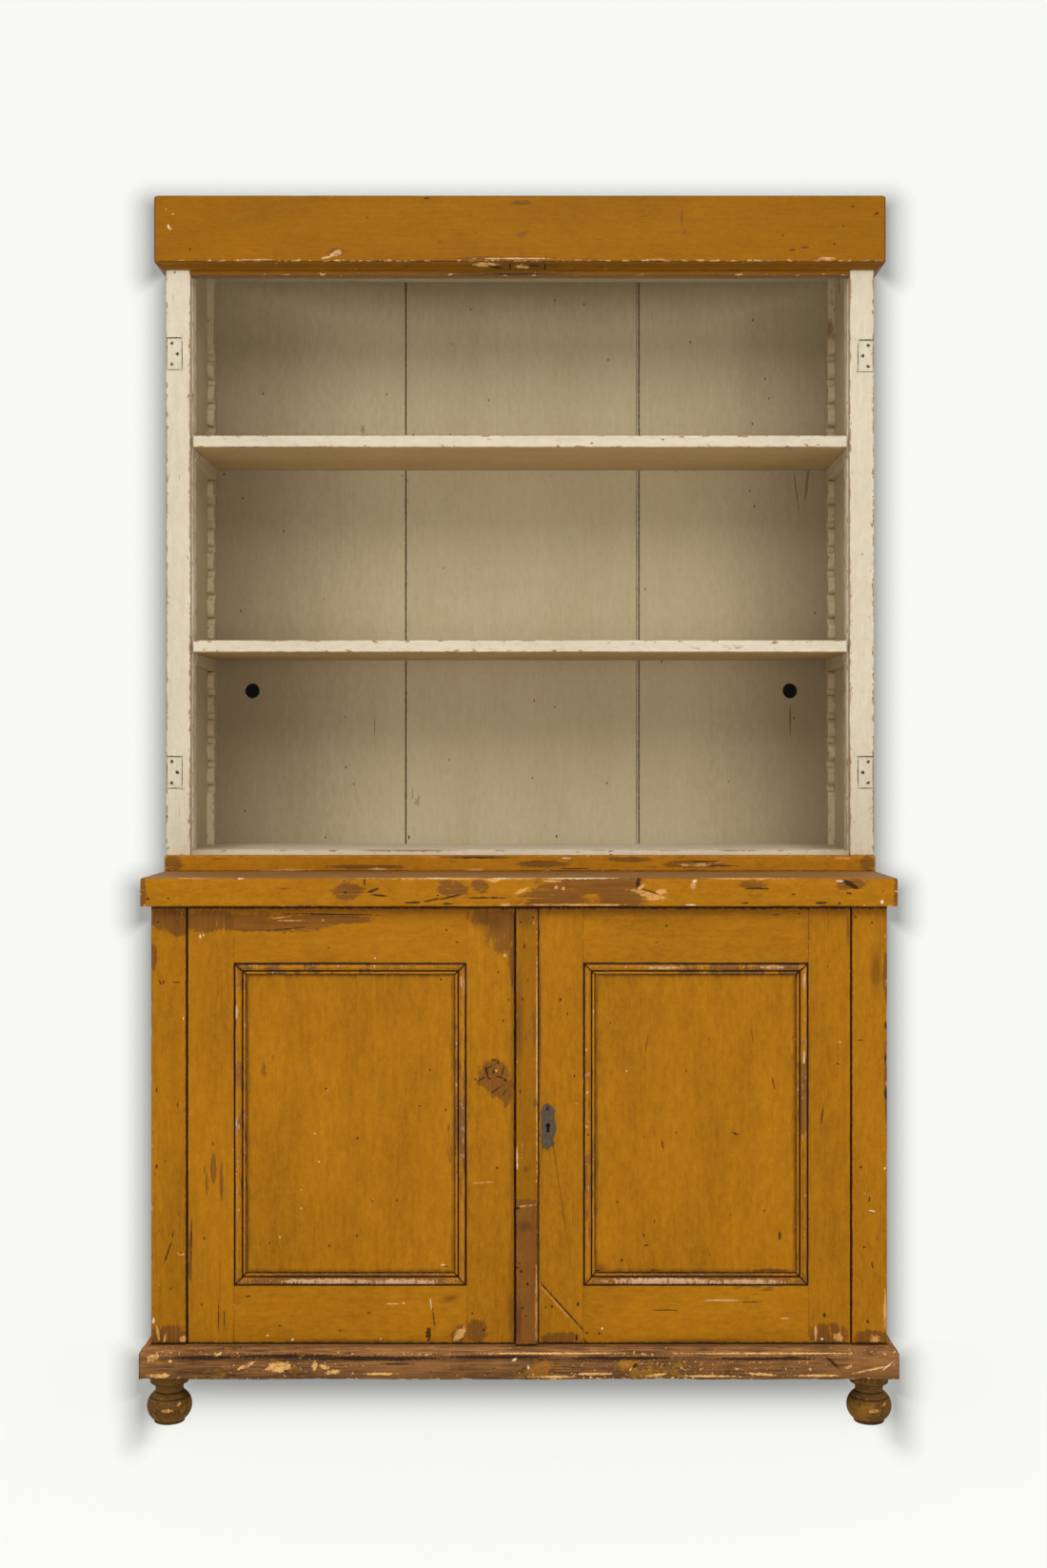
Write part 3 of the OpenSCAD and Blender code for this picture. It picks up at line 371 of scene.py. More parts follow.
@dataclass(frozen=True)
class Pine:
    """Unpainted pine that has darkened inside a closed cupboard, dry and matt with long grain."""

    pale: str = "#AC8455"
    late: str = "#91693F"
    fine: str = "#755232"
    roughness: float = 0.75

    def colour(self, tree: Tree, place: Socket, grain: Grain, seed: Vec3) -> Socket:
        """Add the nodes of the bare wood's colour.

        Summer and winter wood alternate every 15 mm or so, as warped noise drawn out along the
        grain, with fine dark pores 1 mm wide between them.

        Args:
            tree: The node tree.
            place: The socket with the place in metres.
            grain: The way that the grain runs.
            seed: A shift of the pattern, so that no two boards match.

        Returns:
            The colour socket.
        """
        rings = grain.noise(tree, place, seed, 520, 15, Detail=3.0, Distortion=0.9)
        bands = add(tree, "MapRange", {0: rings, 1: 0.38, 2: 0.62}, **SOFT)
        pores = grain.noise(tree, place, seed, 60, 1.3, Detail=2.0)
        lines = add(tree, "MapRange", {0: pores, 1: 0.58, 2: 0.72, 4: 0.55})
        wood = add(tree, "Mix", {0: bands, 6: linear(self.pale), 7: linear(self.late)}, 2, **COLOUR)
        return add(tree, "Mix", {0: lines, 6: wood, 7: linear(self.fine)}, 2, **COLOUR)


@dataclass(frozen=True)
class BareBehind:
    """The plane behind which a board has no paint, or another: its axis, place in mm and side."""

    axis: int
    at: float
    side: int = 1


@dataclass(frozen=True)
class Patterns:
    """The sockets that all the masks of one painted board draw on.

    rag roughens outlines, patch clouds a hand's breadth, brush has the fine lines of a brush, grit
    is small and sharp, and edge is the distance in mm to the nearest arris.
    """

    tree: Tree
    place: Socket
    seed: Vec3
    rag: Socket
    patch: Socket
    brush: Socket
    grit: Socket
    edge: Socket


@dataclass(frozen=True)
class PaintedWood:
    """Old oil paint brushed on a pine board, with rubbed arrises, chips, cracks and marks.

    low and high are the board's corners in metres. rubbed is the share of the face that is worn to
    the undercoat, and arris the width in mm of the wear along the board's edges. chipped is the
    share of the edge that has lost its paint, cracked the share with dark hair lines, drawn how far
    the patterns are drawn out along the grain, and dirt the width in mm of the soft darkening along
    the edges, which is dirt and painted shade. Marks may be painted shade as well. A shaped board
    has its wear and its dirt from the attributes of its own surface, and any other from the
    distance to its box. Behind the plane bare it has the coat inner, or no paint.
    """

    label: str
    low: Vec3
    high: Vec3
    coat: Coat
    grain: Grain
    rubbed: float = 0.02
    arris: float = 2.5
    chipped: float = 0.12
    cracked: float = 0.01
    drawn: float = 1.0
    dirt: float = 0.0
    shaped: bool = False
    marks: Marks = ()
    bare: BareBehind | None = None
    inner: Coat | None = None

    def material(self) -> Material:
        """Make the material.

        The colours lie over one another, each in its own mask: brown ground, dirt and painted
        shade, the dark rim of chips, bare wood, grime with some painted shade, and white spots. A
        mask is a threshold of noise that depends on the distance to the nearest arris, or of the
        distance to the middle of a mark. The bump is the sum of brush lines and lost paint.

        Returns:
            The finished material.
        """
        coat = self.coat
        material, tree = blank(f"{coat.name}, {self.label}")
        look = self.patterns(tree)
        colour = self.paint_colour(look, coat)
        behind = self.behind(look) if self.bare else None
        if behind and self.inner:
            inner = self.paint_colour(look, self.inner)
            colour = add(tree, "Mix", {0: behind, 6: colour, 7: inner}, 2, **COLOUR)
        worn, rubbed = self.worn_mask(look)
        bare, chips, rim = self.bare_masks(look)
        dark, cracks = self.dark_mask(look)
        deep = add(tree, "MapRange", {0: look.rag, 1: 0.32, 2: 0.52})
        wood = add(tree, "Mix", {0: deep, 6: linear(coat.worn), 7: linear(coat.bare)}, 2, **COLOUR)
        # The second layer is the soft darkening, dirt and painted shade; the dark layer holds grime
        # and some painted shade.
        layers = [
            (worn, self.ground(look, worn)), (self.dust_and_shade_mask(look), linear(coat.dust_and_shade_tone)),
            (rim, linear(coat.worn_deep)), (bare, wood),
        ]
        gloss = add(tree, "Mix", {0: rubbed, 2: coat.gloss, 3: coat.gloss + 0.12})
        if behind and not self.inner:
            pine = Pine()
            layers.append((behind, pine.colour(tree, look.place, self.grain, look.seed)))
            gloss = add(tree, "Mix", {0: behind, 2: gloss, 3: pine.roughness})
        layers.append((dark, linear(coat.grime)))
        layers.append((self.mark_mask(look, CHALK, look.grit), linear(coat.chalk)))
        for mask, over in layers:
            if mask:
                colour = add(tree, "Mix", {0: mask, 6: colour, 7: over}, 2, **COLOUR)
        height = self.height(look, rubbed, chips, cracks)
        bump = add(tree, "Bump", {"Strength": 0.8, "Distance": 0.8 * MM, "Height": height})
        shader = add(
            tree,
            "BsdfPrincipled",
            {
                "Base Color": colour, "Roughness": gloss, "Normal": bump, "IOR": 1.48,
                "Specular IOR Level": coat.shine,
            },
        )
        show(tree, shader)
        return material

    def patterns(self, tree: Tree) -> Patterns:
        """Add the noises and the distance that the masks draw on."""
        seed = shift_of(self.label)
        place = add(tree, "TexCoord", {}, output="Object")
        sizes = ((24, 9, 7.0), (330, 90, 6.0), (130, 2.6, 3.0), (7, 3.6, 5.0))
        noises = [self.noise(tree, place, seed, *size) for size in sizes]
        return Patterns(tree, place, seed, *noises, self.edge_distance(tree, place))

    def noise(
        self, tree: Tree, place: Socket, seed: Vec3, along: float, over: float, detail: float
    ) -> Socket:
        """Add noise whose blots measure along by over mm, drawn out as far as this board's are."""
        along *= self.drawn
        return self.grain.noise(tree, place, seed, along, over, Detail=detail, Roughness=0.62)

    def edge_distance(self, tree: Tree, place: Socket) -> Socket:
        """Add the distance in mm to the nearest arris.

        On a shaped board it follows from the attribute of its own surface. On any other it is the
        middle one of the distances to the nearest face of its box along each axis: on a face the
        smallest is nought, and the next is the way to the edge.
        """
        if self.shaped:
            wear = add(tree, "Attribute", {}, output="Fac", attribute_name=WEAR)
            return add(tree, "MapRange", {0: wear, 1: 0.0, 2: 1.0, 3: 8.0, 4: 0.0})
        middle = tuple((a + b) / 2 for a, b in zip(self.low, self.high))
        half = tuple((b - a) / 2 for a, b in zip(self.low, self.high))
        off = add(tree, "VectorMath", {0: place, 1: middle}, operation="SUBTRACT")
        away = add(tree, "VectorMath", {0: off}, operation="ABSOLUTE")
        left = add(tree, "VectorMath", {0: half, 1: away}, operation="SUBTRACT")
        x, y, z = add(tree, "SeparateXYZ", {0: left}).node.outputs
        smaller = add(tree, "Math", {0: x, 1: y}, operation="MINIMUM")
        larger = add(tree, "Math", {0: x, 1: y}, operation="MAXIMUM")
        inner = add(tree, "Math", {0: larger, 1: z}, operation="MINIMUM")
        metres = add(tree, "Math", {0: smaller, 1: inner}, operation="MAXIMUM")
        return add(tree, "Math", {0: metres, 1: 1 / MM}, operation="MULTIPLY")

    def paint_colour(self, look: Patterns, coat: Coat) -> Socket:
        """Add the colour of a coat, clouded over a hand's breadth, lined by the brush, specked."""
        tree = look.tree
        cloud = add(tree, "MapRange", {0: look.patch, 1: 0.3, 2: 0.7})
        lines = add(tree, "MapRange", {0: look.brush, 1: 0.34, 2: 0.66})
        specks = add(tree, "MapRange", {0: look.rag, 1: 0.36, 2: 0.64})
        fine = add(tree, "Mix", {0: 0.62, 2: lines, 3: specks})
        both = add(tree, "Mix", {0: 0.5, 2: cloud, 3: fine})
        speckled = add(tree, "Math", {0: look.grit, 1: 0.9, 2: both}, **SUM)
        level = add(tree, "MapRange", {0: speckled, 1: 0.42, 2: 1.48})
        ends = {6: linear(coat.deep), 7: linear(coat.fresh)}
        return add(tree, "Mix", {0: level, **ends}, 2, **COLOUR)

    def ground(self, look: Patterns, worn: Socket) -> Socket:
        """Add the colour of the brown ground: clouded, lined, specked, and dark at its border."""
        tree, brush, coat = look.tree, look.brush, self.coat
        inside = add(tree, "MapRange", {0: worn, 1: 0.3, 2: 0.75, 3: -0.45, 4: 0.0})
        clouded = add(tree, "Math", {0: look.patch, 1: 0.8, 2: brush}, **SUM)
        lined = add(tree, "MapRange", {0: clouded, 1: 0.7, 2: 1.03, 3: 0.1})
        lines = add(tree, "Math", {0: lined, 1: inside}, operation="ADD", use_clamp=True)
        ends = {6: linear(coat.worn_deep), 7: linear(coat.worn)}
        brown = add(tree, "Mix", {0: lines, **ends}, 2, **COLOUR)
        mixed = add(tree, "Math", {0: brush, 1: 0.6, 2: look.rag}, **SUM)
        specks = add(tree, "MapRange", {0: mixed, 1: 0.95, 2: 1.0, 4: 0.6})
        return add(tree, "Mix", {0: specks, 6: brown, 7: linear(coat.fresh)}, 2, **COLOUR)

    def mark_mask(self, look: Patterns, flaw: Flaw, rough: Socket) -> Socket | None:
        """Add the mask of all the marks of one kind.

        The shortest of the distances to the marks' middles is roughened by noise and cut off.

        Args:
            look: The board's patterns.
            flaw: The kind of mark.
            rough: The noise that roughens the outlines.

        Returns:
            The mask's socket, or None if there is no such mark.
        """
        tree = look.tree
        nearest = None
        for mark in self.marks:
            if mark.flaw is not flaw:
                continue
            away = mark.distance(tree, look.place, self.low[1])
            if nearest:
                away = add(tree, "Math", {0: nearest, 1: away}, operation="MINIMUM")
            nearest = away
        if nearest is None:
            return None
        line = OUTLINES[flaw]
        torn = add(tree, "Math", {0: rough, 1: line.ragged, 2: nearest}, **SUM)
        start, full = line.outer + line.ragged / 2, line.inner + line.ragged / 2
        reach = {1: start, 2: full, 4: line.strength}
        return add(tree, "MapRange", {0: torn, **reach}, **SOFT)

    def marked(self, look: Patterns, mask: Socket, flaw: Flaw, rough: Socket) -> Socket:
        """Add the marks of one kind to a mask, if the board has any."""
        marks = self.mark_mask(look, flaw, rough)
        return add(look.tree, "Math", {0: mask, 1: marks}, operation="MAXIMUM") if marks else mask

    def dust_and_shade_mask(self, look: Patterns) -> Socket | None:
        """Add the mask of dirt and painted shade along edges and where hands go."""
        # The soft-darkening marks and the band along the edges are partly painted shade.
        dirty = self.mark_mask(look, DUST_AND_SHADE, look.rag)
        if not self.dirt:
            return dirty
        tree = look.tree
        uneven = add(tree, "Math", {0: look.rag, 1: 0.9 * self.dirt, 2: look.edge}, **SUM)
        along = add(tree, "MapRange", {0: uneven, 1: 1.15 * self.dirt, 2: 0.2 * self.dirt})
        return add(tree, "Math", {0: dirty, 1: along}, operation="MAXIMUM") if dirty else along

    def worn_mask(self, look: Patterns) -> tuple[Socket, Socket]:
        """Add the mask of the brown ground, with the marks and without them."""
        tree, rag, patch = look.tree, look.rag, look.patch
        limit = NormalDist(0.65, 0.085).inv_cdf(1 - self.rubbed)
        both = add(tree, "Math", {0: rag, 1: 0.3, 2: patch}, **SUM)
        face = add(tree, "MapRange", {0: both, 1: limit - 0.02, 2: limit + 0.03})
        near = add(tree, "Math", {0: look.edge, 1: 1 / self.arris}, operation="MULTIPLY")
        uneven = add(tree, "Math", {0: patch, 1: 6.0, 2: near}, **SUM)
        ragged = add(tree, "Math", {0: rag, 1: 3.0, 2: uneven}, **SUM)
        rim = add(tree, "MapRange", {0: ragged, 1: 5.1, 2: 4.3, 4: 0.9})
        rubbed = add(tree, "Math", {0: face, 1: rim}, operation="MAXIMUM")
        torn = add(tree, "Math", {0: look.grit, 1: 0.8, 2: rag}, **SUM)
        return self.marked(look, rubbed, WORN, torn), rubbed

    def bare_masks(self, look: Patterns) -> tuple[Socket, Socket, Socket]:
        """Add the masks of bare wood, of its chips alone, and of the dark rim round them.

        Chips are noise 15 mm by 6 mm over a limit that rises with the distance to the arris.
        """
        tree, seed = look.tree, look.seed
        blots = self.noise(tree, look.place, (seed[1], seed[2], seed[0]), 15, 6, 4.0)
        limit = NormalDist(0.5, 0.085).inv_cdf(1 - self.chipped)
        fall = add(tree, "Math", {0: look.edge, 1: -0.014, 2: blots}, **SUM)
        scarred = self.mark_mask(look, SCAR, look.grit)
        if scarred:
            fall = add(tree, "Math", {0: scarred, 1: 0.08, 2: fall}, **SUM)
        chips = add(tree, "MapRange", {0: fall, 1: limit, 2: limit + 0.02})
        rim = add(tree, "MapRange", {0: fall, 1: limit - 0.04, 2: limit - 0.005, 4: 0.7})
        return self.marked(look, chips, BARE, look.grit), chips, rim

    def dark_mask(self, look: Patterns) -> tuple[Socket, Socket]:
        """Add the mask of all dark (grime in hair cracks, pin holes and quirks, and marks, some of
        them painted shade) and of cracks alone.
        """
        tree, place, seed = look.tree, look.place, look.seed
        hair = self.noise(tree, place, (seed[2], seed[0], seed[1]), 40, 2.2, 2.0)
        limit = NormalDist(0.5, 0.1).inv_cdf(1 - self.cracked)
        cracks = add(tree, "MapRange", {0: hair, 1: limit, 2: limit + 0.035, 4: 0.7})
        at = add(tree, "Mapping", {0: place, "Location": seed, "Scale": self.grain.stretch(66, 38)})
        cell = add(tree, "TexVoronoi", {"Vector": at, "Scale": 1.0}, output="Distance")
        holes = add(tree, "MapRange", {0: cell, 1: 0.05, 2: 0.032, 4: 0.8})
        mask = add(tree, "Math", {0: cracks, 1: holes}, operation="MAXIMUM")
        if self.shaped:
            grime = add(tree, "Attribute", {}, output="Fac", attribute_name=GRIME)
            uneven = add(tree, "Math", {0: look.rag, 1: 0.9, 2: grime}, **SUM)
            quirk = add(tree, "MapRange", {0: uneven, 1: 0.66, 2: 1.04, 4: 0.97})
            mask = add(tree, "Math", {0: mask, 1: quirk}, operation="MAXIMUM")
        return self.marked(look, mask, DARK, look.grit), cracks

    def behind(self, look: Patterns) -> Socket:
        """Add the mask of what lies behind the painted face, with brush marks over its edge."""
        tree, side = look.tree, self.bare.side
        way = add(tree, "SeparateXYZ", {0: look.place}).node.outputs[self.bare.axis]
        over = add(tree, "Math", {0: look.rag, 1: -2 * MM * side, 2: way}, **SUM)
        start = self.bare.at * MM - MM * side
        soft = 0.2 * MM * side
        return add(tree, "MapRange", {0: over, 1: start - soft, 2: start + soft})

    def height(self, look: Patterns, worn: Socket, chips: Socket, cracks: Socket) -> Socket:
        """Add the height of the surface: brush lines and grit, less the paint that is gone."""
        level: Socket | float = 1.0
        shares = ((look.brush, 0.5), (look.rag, 0.35), (worn, -0.2), (chips, -0.5), (cracks, -0.9))
        for pattern, share in shares:
            level = add(look.tree, "Math", {0: pattern, 1: share, 2: level}, **SUM)
        return level


@dataclass(frozen=True)
class BarePine:
    """Unpainted pine for the boards inside and behind."""

    label: str
    grain: Grain
    pine: Pine = Pine()

    def material(self) -> Material:
        """Make the material: long grain in two browns, matt, with pores that catch the light."""
        material, tree = blank(f"bare pine, {self.label}")
        seed = shift_of(self.label)
        place = add(tree, "TexCoord", {}, output="Object")
        colour = self.pine.colour(tree, place, self.grain, seed)
        cloud = self.grain.noise(tree, place, seed, 500, 90, Detail=4.0)
        dust = add(tree, "MapRange", {0: cloud, 1: 0.4, 2: 0.7, 4: 0.45})
        colour = add(tree, "Mix", {0: dust, 6: colour, 7: linear("#6F5A40")}, 2, **COLOUR)
        saw = self.grain.noise(tree, place, seed, 90, 1.6, Detail=3.0)
        bump = add(tree, "Bump", {"Strength": 0.5, "Distance": 0.5 * MM, "Height": saw})
        inputs = {"Base Color": colour, "Roughness": self.pine.roughness, "Normal": bump}
        show(tree, add(tree, "BsdfPrincipled", inputs))
        return material


@dataclass(frozen=True)
class WroughtIron:
    """Hand-forged iron, waxed and brown with old rust: dull, pitted, with no bright edge.

    hollows are the black holes in a plate's front, which the lamps don't reach.
    """

    label: str
    skin: str = "#6A5542"
    pit: str = "#3A2C20"
    rust: str = "#6B4023"
    roughness: float = 0.58
    hollows: Marks = ()

    def material(self) -> Material:
        """Make the material: rust-brown skin over pitted metal, with pits 2 mm across."""
        material, tree = blank(f"wrought iron, {self.label}")
        place = add(tree, "TexCoord", {}, output="Object")
        pits = add(tree, "TexNoise", {"Vector": place, "Scale": 1 / (2.2 * MM), "Detail": 4.0})
        bloom = add(tree, "TexNoise", {"Vector": place, "Scale": 1 / (14 * MM), "Detail": 4.0})
        deep = add(tree, "MapRange", {0: pits, 1: 0.35, 2: 0.6})
        colour = add(tree, "Mix", {0: deep, 6: linear(self.pit), 7: linear(self.skin)}, 2, **COLOUR)
        rusty = add(tree, "MapRange", {0: bloom, 1: 0.5, 2: 0.68, 4: 0.7})
        colour = add(tree, "Mix", {0: rusty, 6: colour, 7: linear(self.rust)}, 2, **COLOUR)
        for hollow in self.hollows:
            away = hollow.distance(tree, place, 0.0)
            black = add(tree, "MapRange", {0: away, 1: 1.1, 2: 0.85})
            colour = add(tree, "Mix", {0: black, 6: colour, 7: linear("#0C0806")}, 2, **COLOUR)
        bump = add(tree, "Bump", {"Strength": 0.6, "Distance": 0.3 * MM, "Height": pits})
        inputs = {"Base Color": colour, "Roughness": self.roughness, "Normal": bump}
        show(tree, add(tree, "BsdfPrincipled", {**inputs, "Metallic": 0.25}))
        return material


def wander(s: np.ndarray, step: float, seed: int) -> np.ndarray:
    """Return a smooth random line between -1 and 1.

    Random heights stand every step, and half cosines join them.

    Args:
        s: The places along the line, in metres.
        step: The distance between two heights.
        seed: The number that makes this line.
    """
    knots = np.arange(s.min() - step, s.max() + 3 * step, step)
    heights = np.random.default_rng(seed).uniform(-1, 1, knots.size)
    turn = (s - knots[0]) / step
    left = np.floor(turn).astype(int)
    share = (1 - np.cos(np.pi * (turn - left))) / 2
    return heights[left] * (1 - share) + heights[left + 1] * share


def nicks(s: np.ndarray, every: float, length: float, depth: float, seed: int) -> np.ndarray:
    """Return the depth of the dents along an arris, as a sum of bell curves at random places.

    Args:
        s: The places along the arris, in metres.
        every: The mean distance between two dents.
        length: The half length of the longest dent.
        depth: The depth of the deepest one. Most are far shallower.
        seed: The number that makes these dents.
    """
    rng = np.random.default_rng(seed)
    count = max(2, int((s.max() - s.min()) / every))
    middle = rng.uniform(s.min(), s.max(), count)
    spread = length * rng.uniform(0.25, 1, count)
    deep = depth * rng.uniform(0.15, 1, count) ** 3
    return (deep * np.exp(-(((s[:, None] - middle) / spread) ** 2))).sum(1)


@dataclass
class Surface:
    """Points and faces of one closed skin, with each point's wear and dirt, gathered as arrays."""

    points: np.ndarray
    quads: np.ndarray
    caps: list[np.ndarray] = field(default_factory=list)
    wear: np.ndarray | None = None
    grime: np.ndarray | None = None

    def outward(self) -> "Surface":
        """Return the same skin with its faces turned outwards.

        The signed volume is the sum over the faces of the box product of three of their corners,
        and every ring of corners is reversed when it is negative.
        """
        a, b, c, d = (self.points[self.quads[:, k]] for k in range(4))
        volume = (np.cross(a, b) * c).sum() + (np.cross(a, c) * d).sum()
        for cap in self.caps:
            ring = self.points[cap]
            volume += (np.cross(ring[0], ring[1:-1]) * ring[2:]).sum()
        if volume >= 0:
            return self
        caps = [cap[::-1] for cap in self.caps]
        return Surface(self.points, self.quads[:, ::-1], caps, self.wear, self.grime)


def joined(skins: list[Surface]) -> Surface:
    """Return several skins as one, with the later points numbered on."""
    offsets = np.cumsum([0] + [len(s.points) for s in skins[:-1]])
    return Surface(
        np.concatenate([s.points for s in skins]),
        np.concatenate([s.quads + o for s, o in zip(skins, offsets)]),
        [cap + o for s, o in zip(skins, offsets) for cap in s.caps],
        None if skins[0].wear is None else np.concatenate([s.wear for s in skins]),
        None if skins[0].grime is None else np.concatenate([s.grime for s in skins]),
    )


def mesh_object(name: str, skin: Surface, sharp: float = 38.0) -> Object:
    """Put a skin into a mesh object at the origin.

    Args:
        name: The piece's name.
        skin: The points and faces.
        sharp: The angle in degrees over which an edge stays crisp.

    Returns:
        The new object, linked to the scene.
    """
    mesh = bpy.data.meshes.new(name)
    loops = np.concatenate([skin.quads.ravel(), *skin.caps]).astype(np.int32)
    counts = np.array([4] * len(skin.quads) + [len(c) for c in skin.caps])
    starts = np.concatenate([[0], np.cumsum(counts)[:-1]]).astype(np.int32)
    mesh.vertices.add(len(skin.points))
    mesh.vertices.foreach_set("co", skin.points.astype(np.float32).ravel())
    mesh.loops.add(len(loops))
    mesh.loops.foreach_set("vertex_index", loops)
    mesh.polygons.add(len(counts))
    mesh.polygons.foreach_set("loop_start", starts)
    mesh.polygons.foreach_set("use_smooth", np.ones(len(counts), bool))
    mesh.update(calc_edges=True)
    mesh.validate()
    mesh.set_sharp_from_angle(angle=math.radians(sharp))
    for label, values in ((WEAR, skin.wear), (GRIME, skin.grime)):
        if values is not None:
            layer = mesh.attributes.new(label, "FLOAT", "POINT")
            layer.data.foreach_set("value", values.astype(np.float32))
    return placed(name, mesh)


def grid_quads(rings: int, round_points: int) -> np.ndarray:
    """Return the faces between neighbouring closed rings of points.

    Args:
        rings: The number of rings.
        round_points: The number of points in each ring.
    """
    u, v = np.meshgrid(np.arange(rings - 1), np.arange(round_points), indexing="ij")
    w = (v + 1) % round_points
    base, above = u * round_points, (u + 1) * round_points
    return np.stack([base + v, base + w, above + w, above + v], -1).reshape(-1, 4)


@dataclass(frozen=True)
class Corner:
    """One corner of a section in mm.

    It has its place, its easing, how hard its arris is knocked, how far it is rubbed, and how
    much dirt lies in it, the last two from 0 to 1.
    """

    a: float
    b: float
    ease: float = 0.8
    knock: float = 0.0
    rub: float = 0.0
    grime: float = 0.0


@dataclass(frozen=True)
class Section:
    """The closed outline of a board or moulding, with eased corners."""

    corners: tuple[Corner, ...]
    pitch: float = 14.0
    reach: float = 3.5
    dirt_reach: float = 1.3

    def outline(self) -> tuple[np.ndarray, np.ndarray, np.ndarray, np.ndarray]:
        """Work out the outline's points.

        Each corner becomes an arc that touches both sides, of five points. Each side between two
        arcs is divided at distances that follow a half cosine, so that points crowd at the arrises.

        Returns:
            The points (m, 2), each point's share in the dents of each corner (m, k), the way
            inwards from each corner (k, 2), all in mm, and each point's wear and dirt (m, 2).
        """
        at = np.array([[c.a, c.b] for c in self.corners], float)
        before = np.roll(at, 1, 0) - at
        after = np.roll(at, -1, 0) - at
        before /= np.linalg.norm(before, axis=1)[:, None]
        after /= np.linalg.norm(after, axis=1)[:, None]
        inward = before + after
        inward /= np.linalg.norm(inward, axis=1)[:, None] + 1e-9
        half = np.arccos(np.clip((before * after).sum(1), -1, 1)) / 2
        ease = np.array([c.ease for c in self.corners])
        middle = at + inward * (ease / np.sin(half))[:, None]
        points = []
        for i in range(len(at)):
            reach = ease[i] / math.tan(half[i])
            start = at[i] + before[i] * reach - middle[i]
            end = at[i] + after[i] * reach - middle[i]
            share = np.linspace(0, 1, 5)[:, None]
            arc = start * (1 - share) + end * share
            arc *= ease[i] / np.linalg.norm(arc, axis=1)[:, None]
            points.append(middle[i] + arc)
        whole = []
        for i, arc in enumerate(points):
            following = points[(i + 1) % len(points)][0]
            gap = following - arc[-1]
            parts = max(4, math.ceil(np.linalg.norm(gap) / self.pitch))
            share = (1 - np.cos(np.pi * np.arange(1, parts) / parts)) / 2
            whole += [arc, arc[-1] + gap * share[:, None]]
        ring = np.concatenate(whole)
        knocked = np.array([c.knock > 0 for c in self.corners])
        distance = np.linalg.norm(ring[:, None] - at[None], axis=2)
        near = np.exp(-((distance / self.reach) ** 2))
        worn = near * [c.rub for c in self.corners]
        dirty = np.exp(-((distance / self.dirt_reach) ** 2)) * [c.grime for c in self.corners]
        return ring, near * knocked, inward, np.stack([worn.max(1), dirty.max(1)], 1)


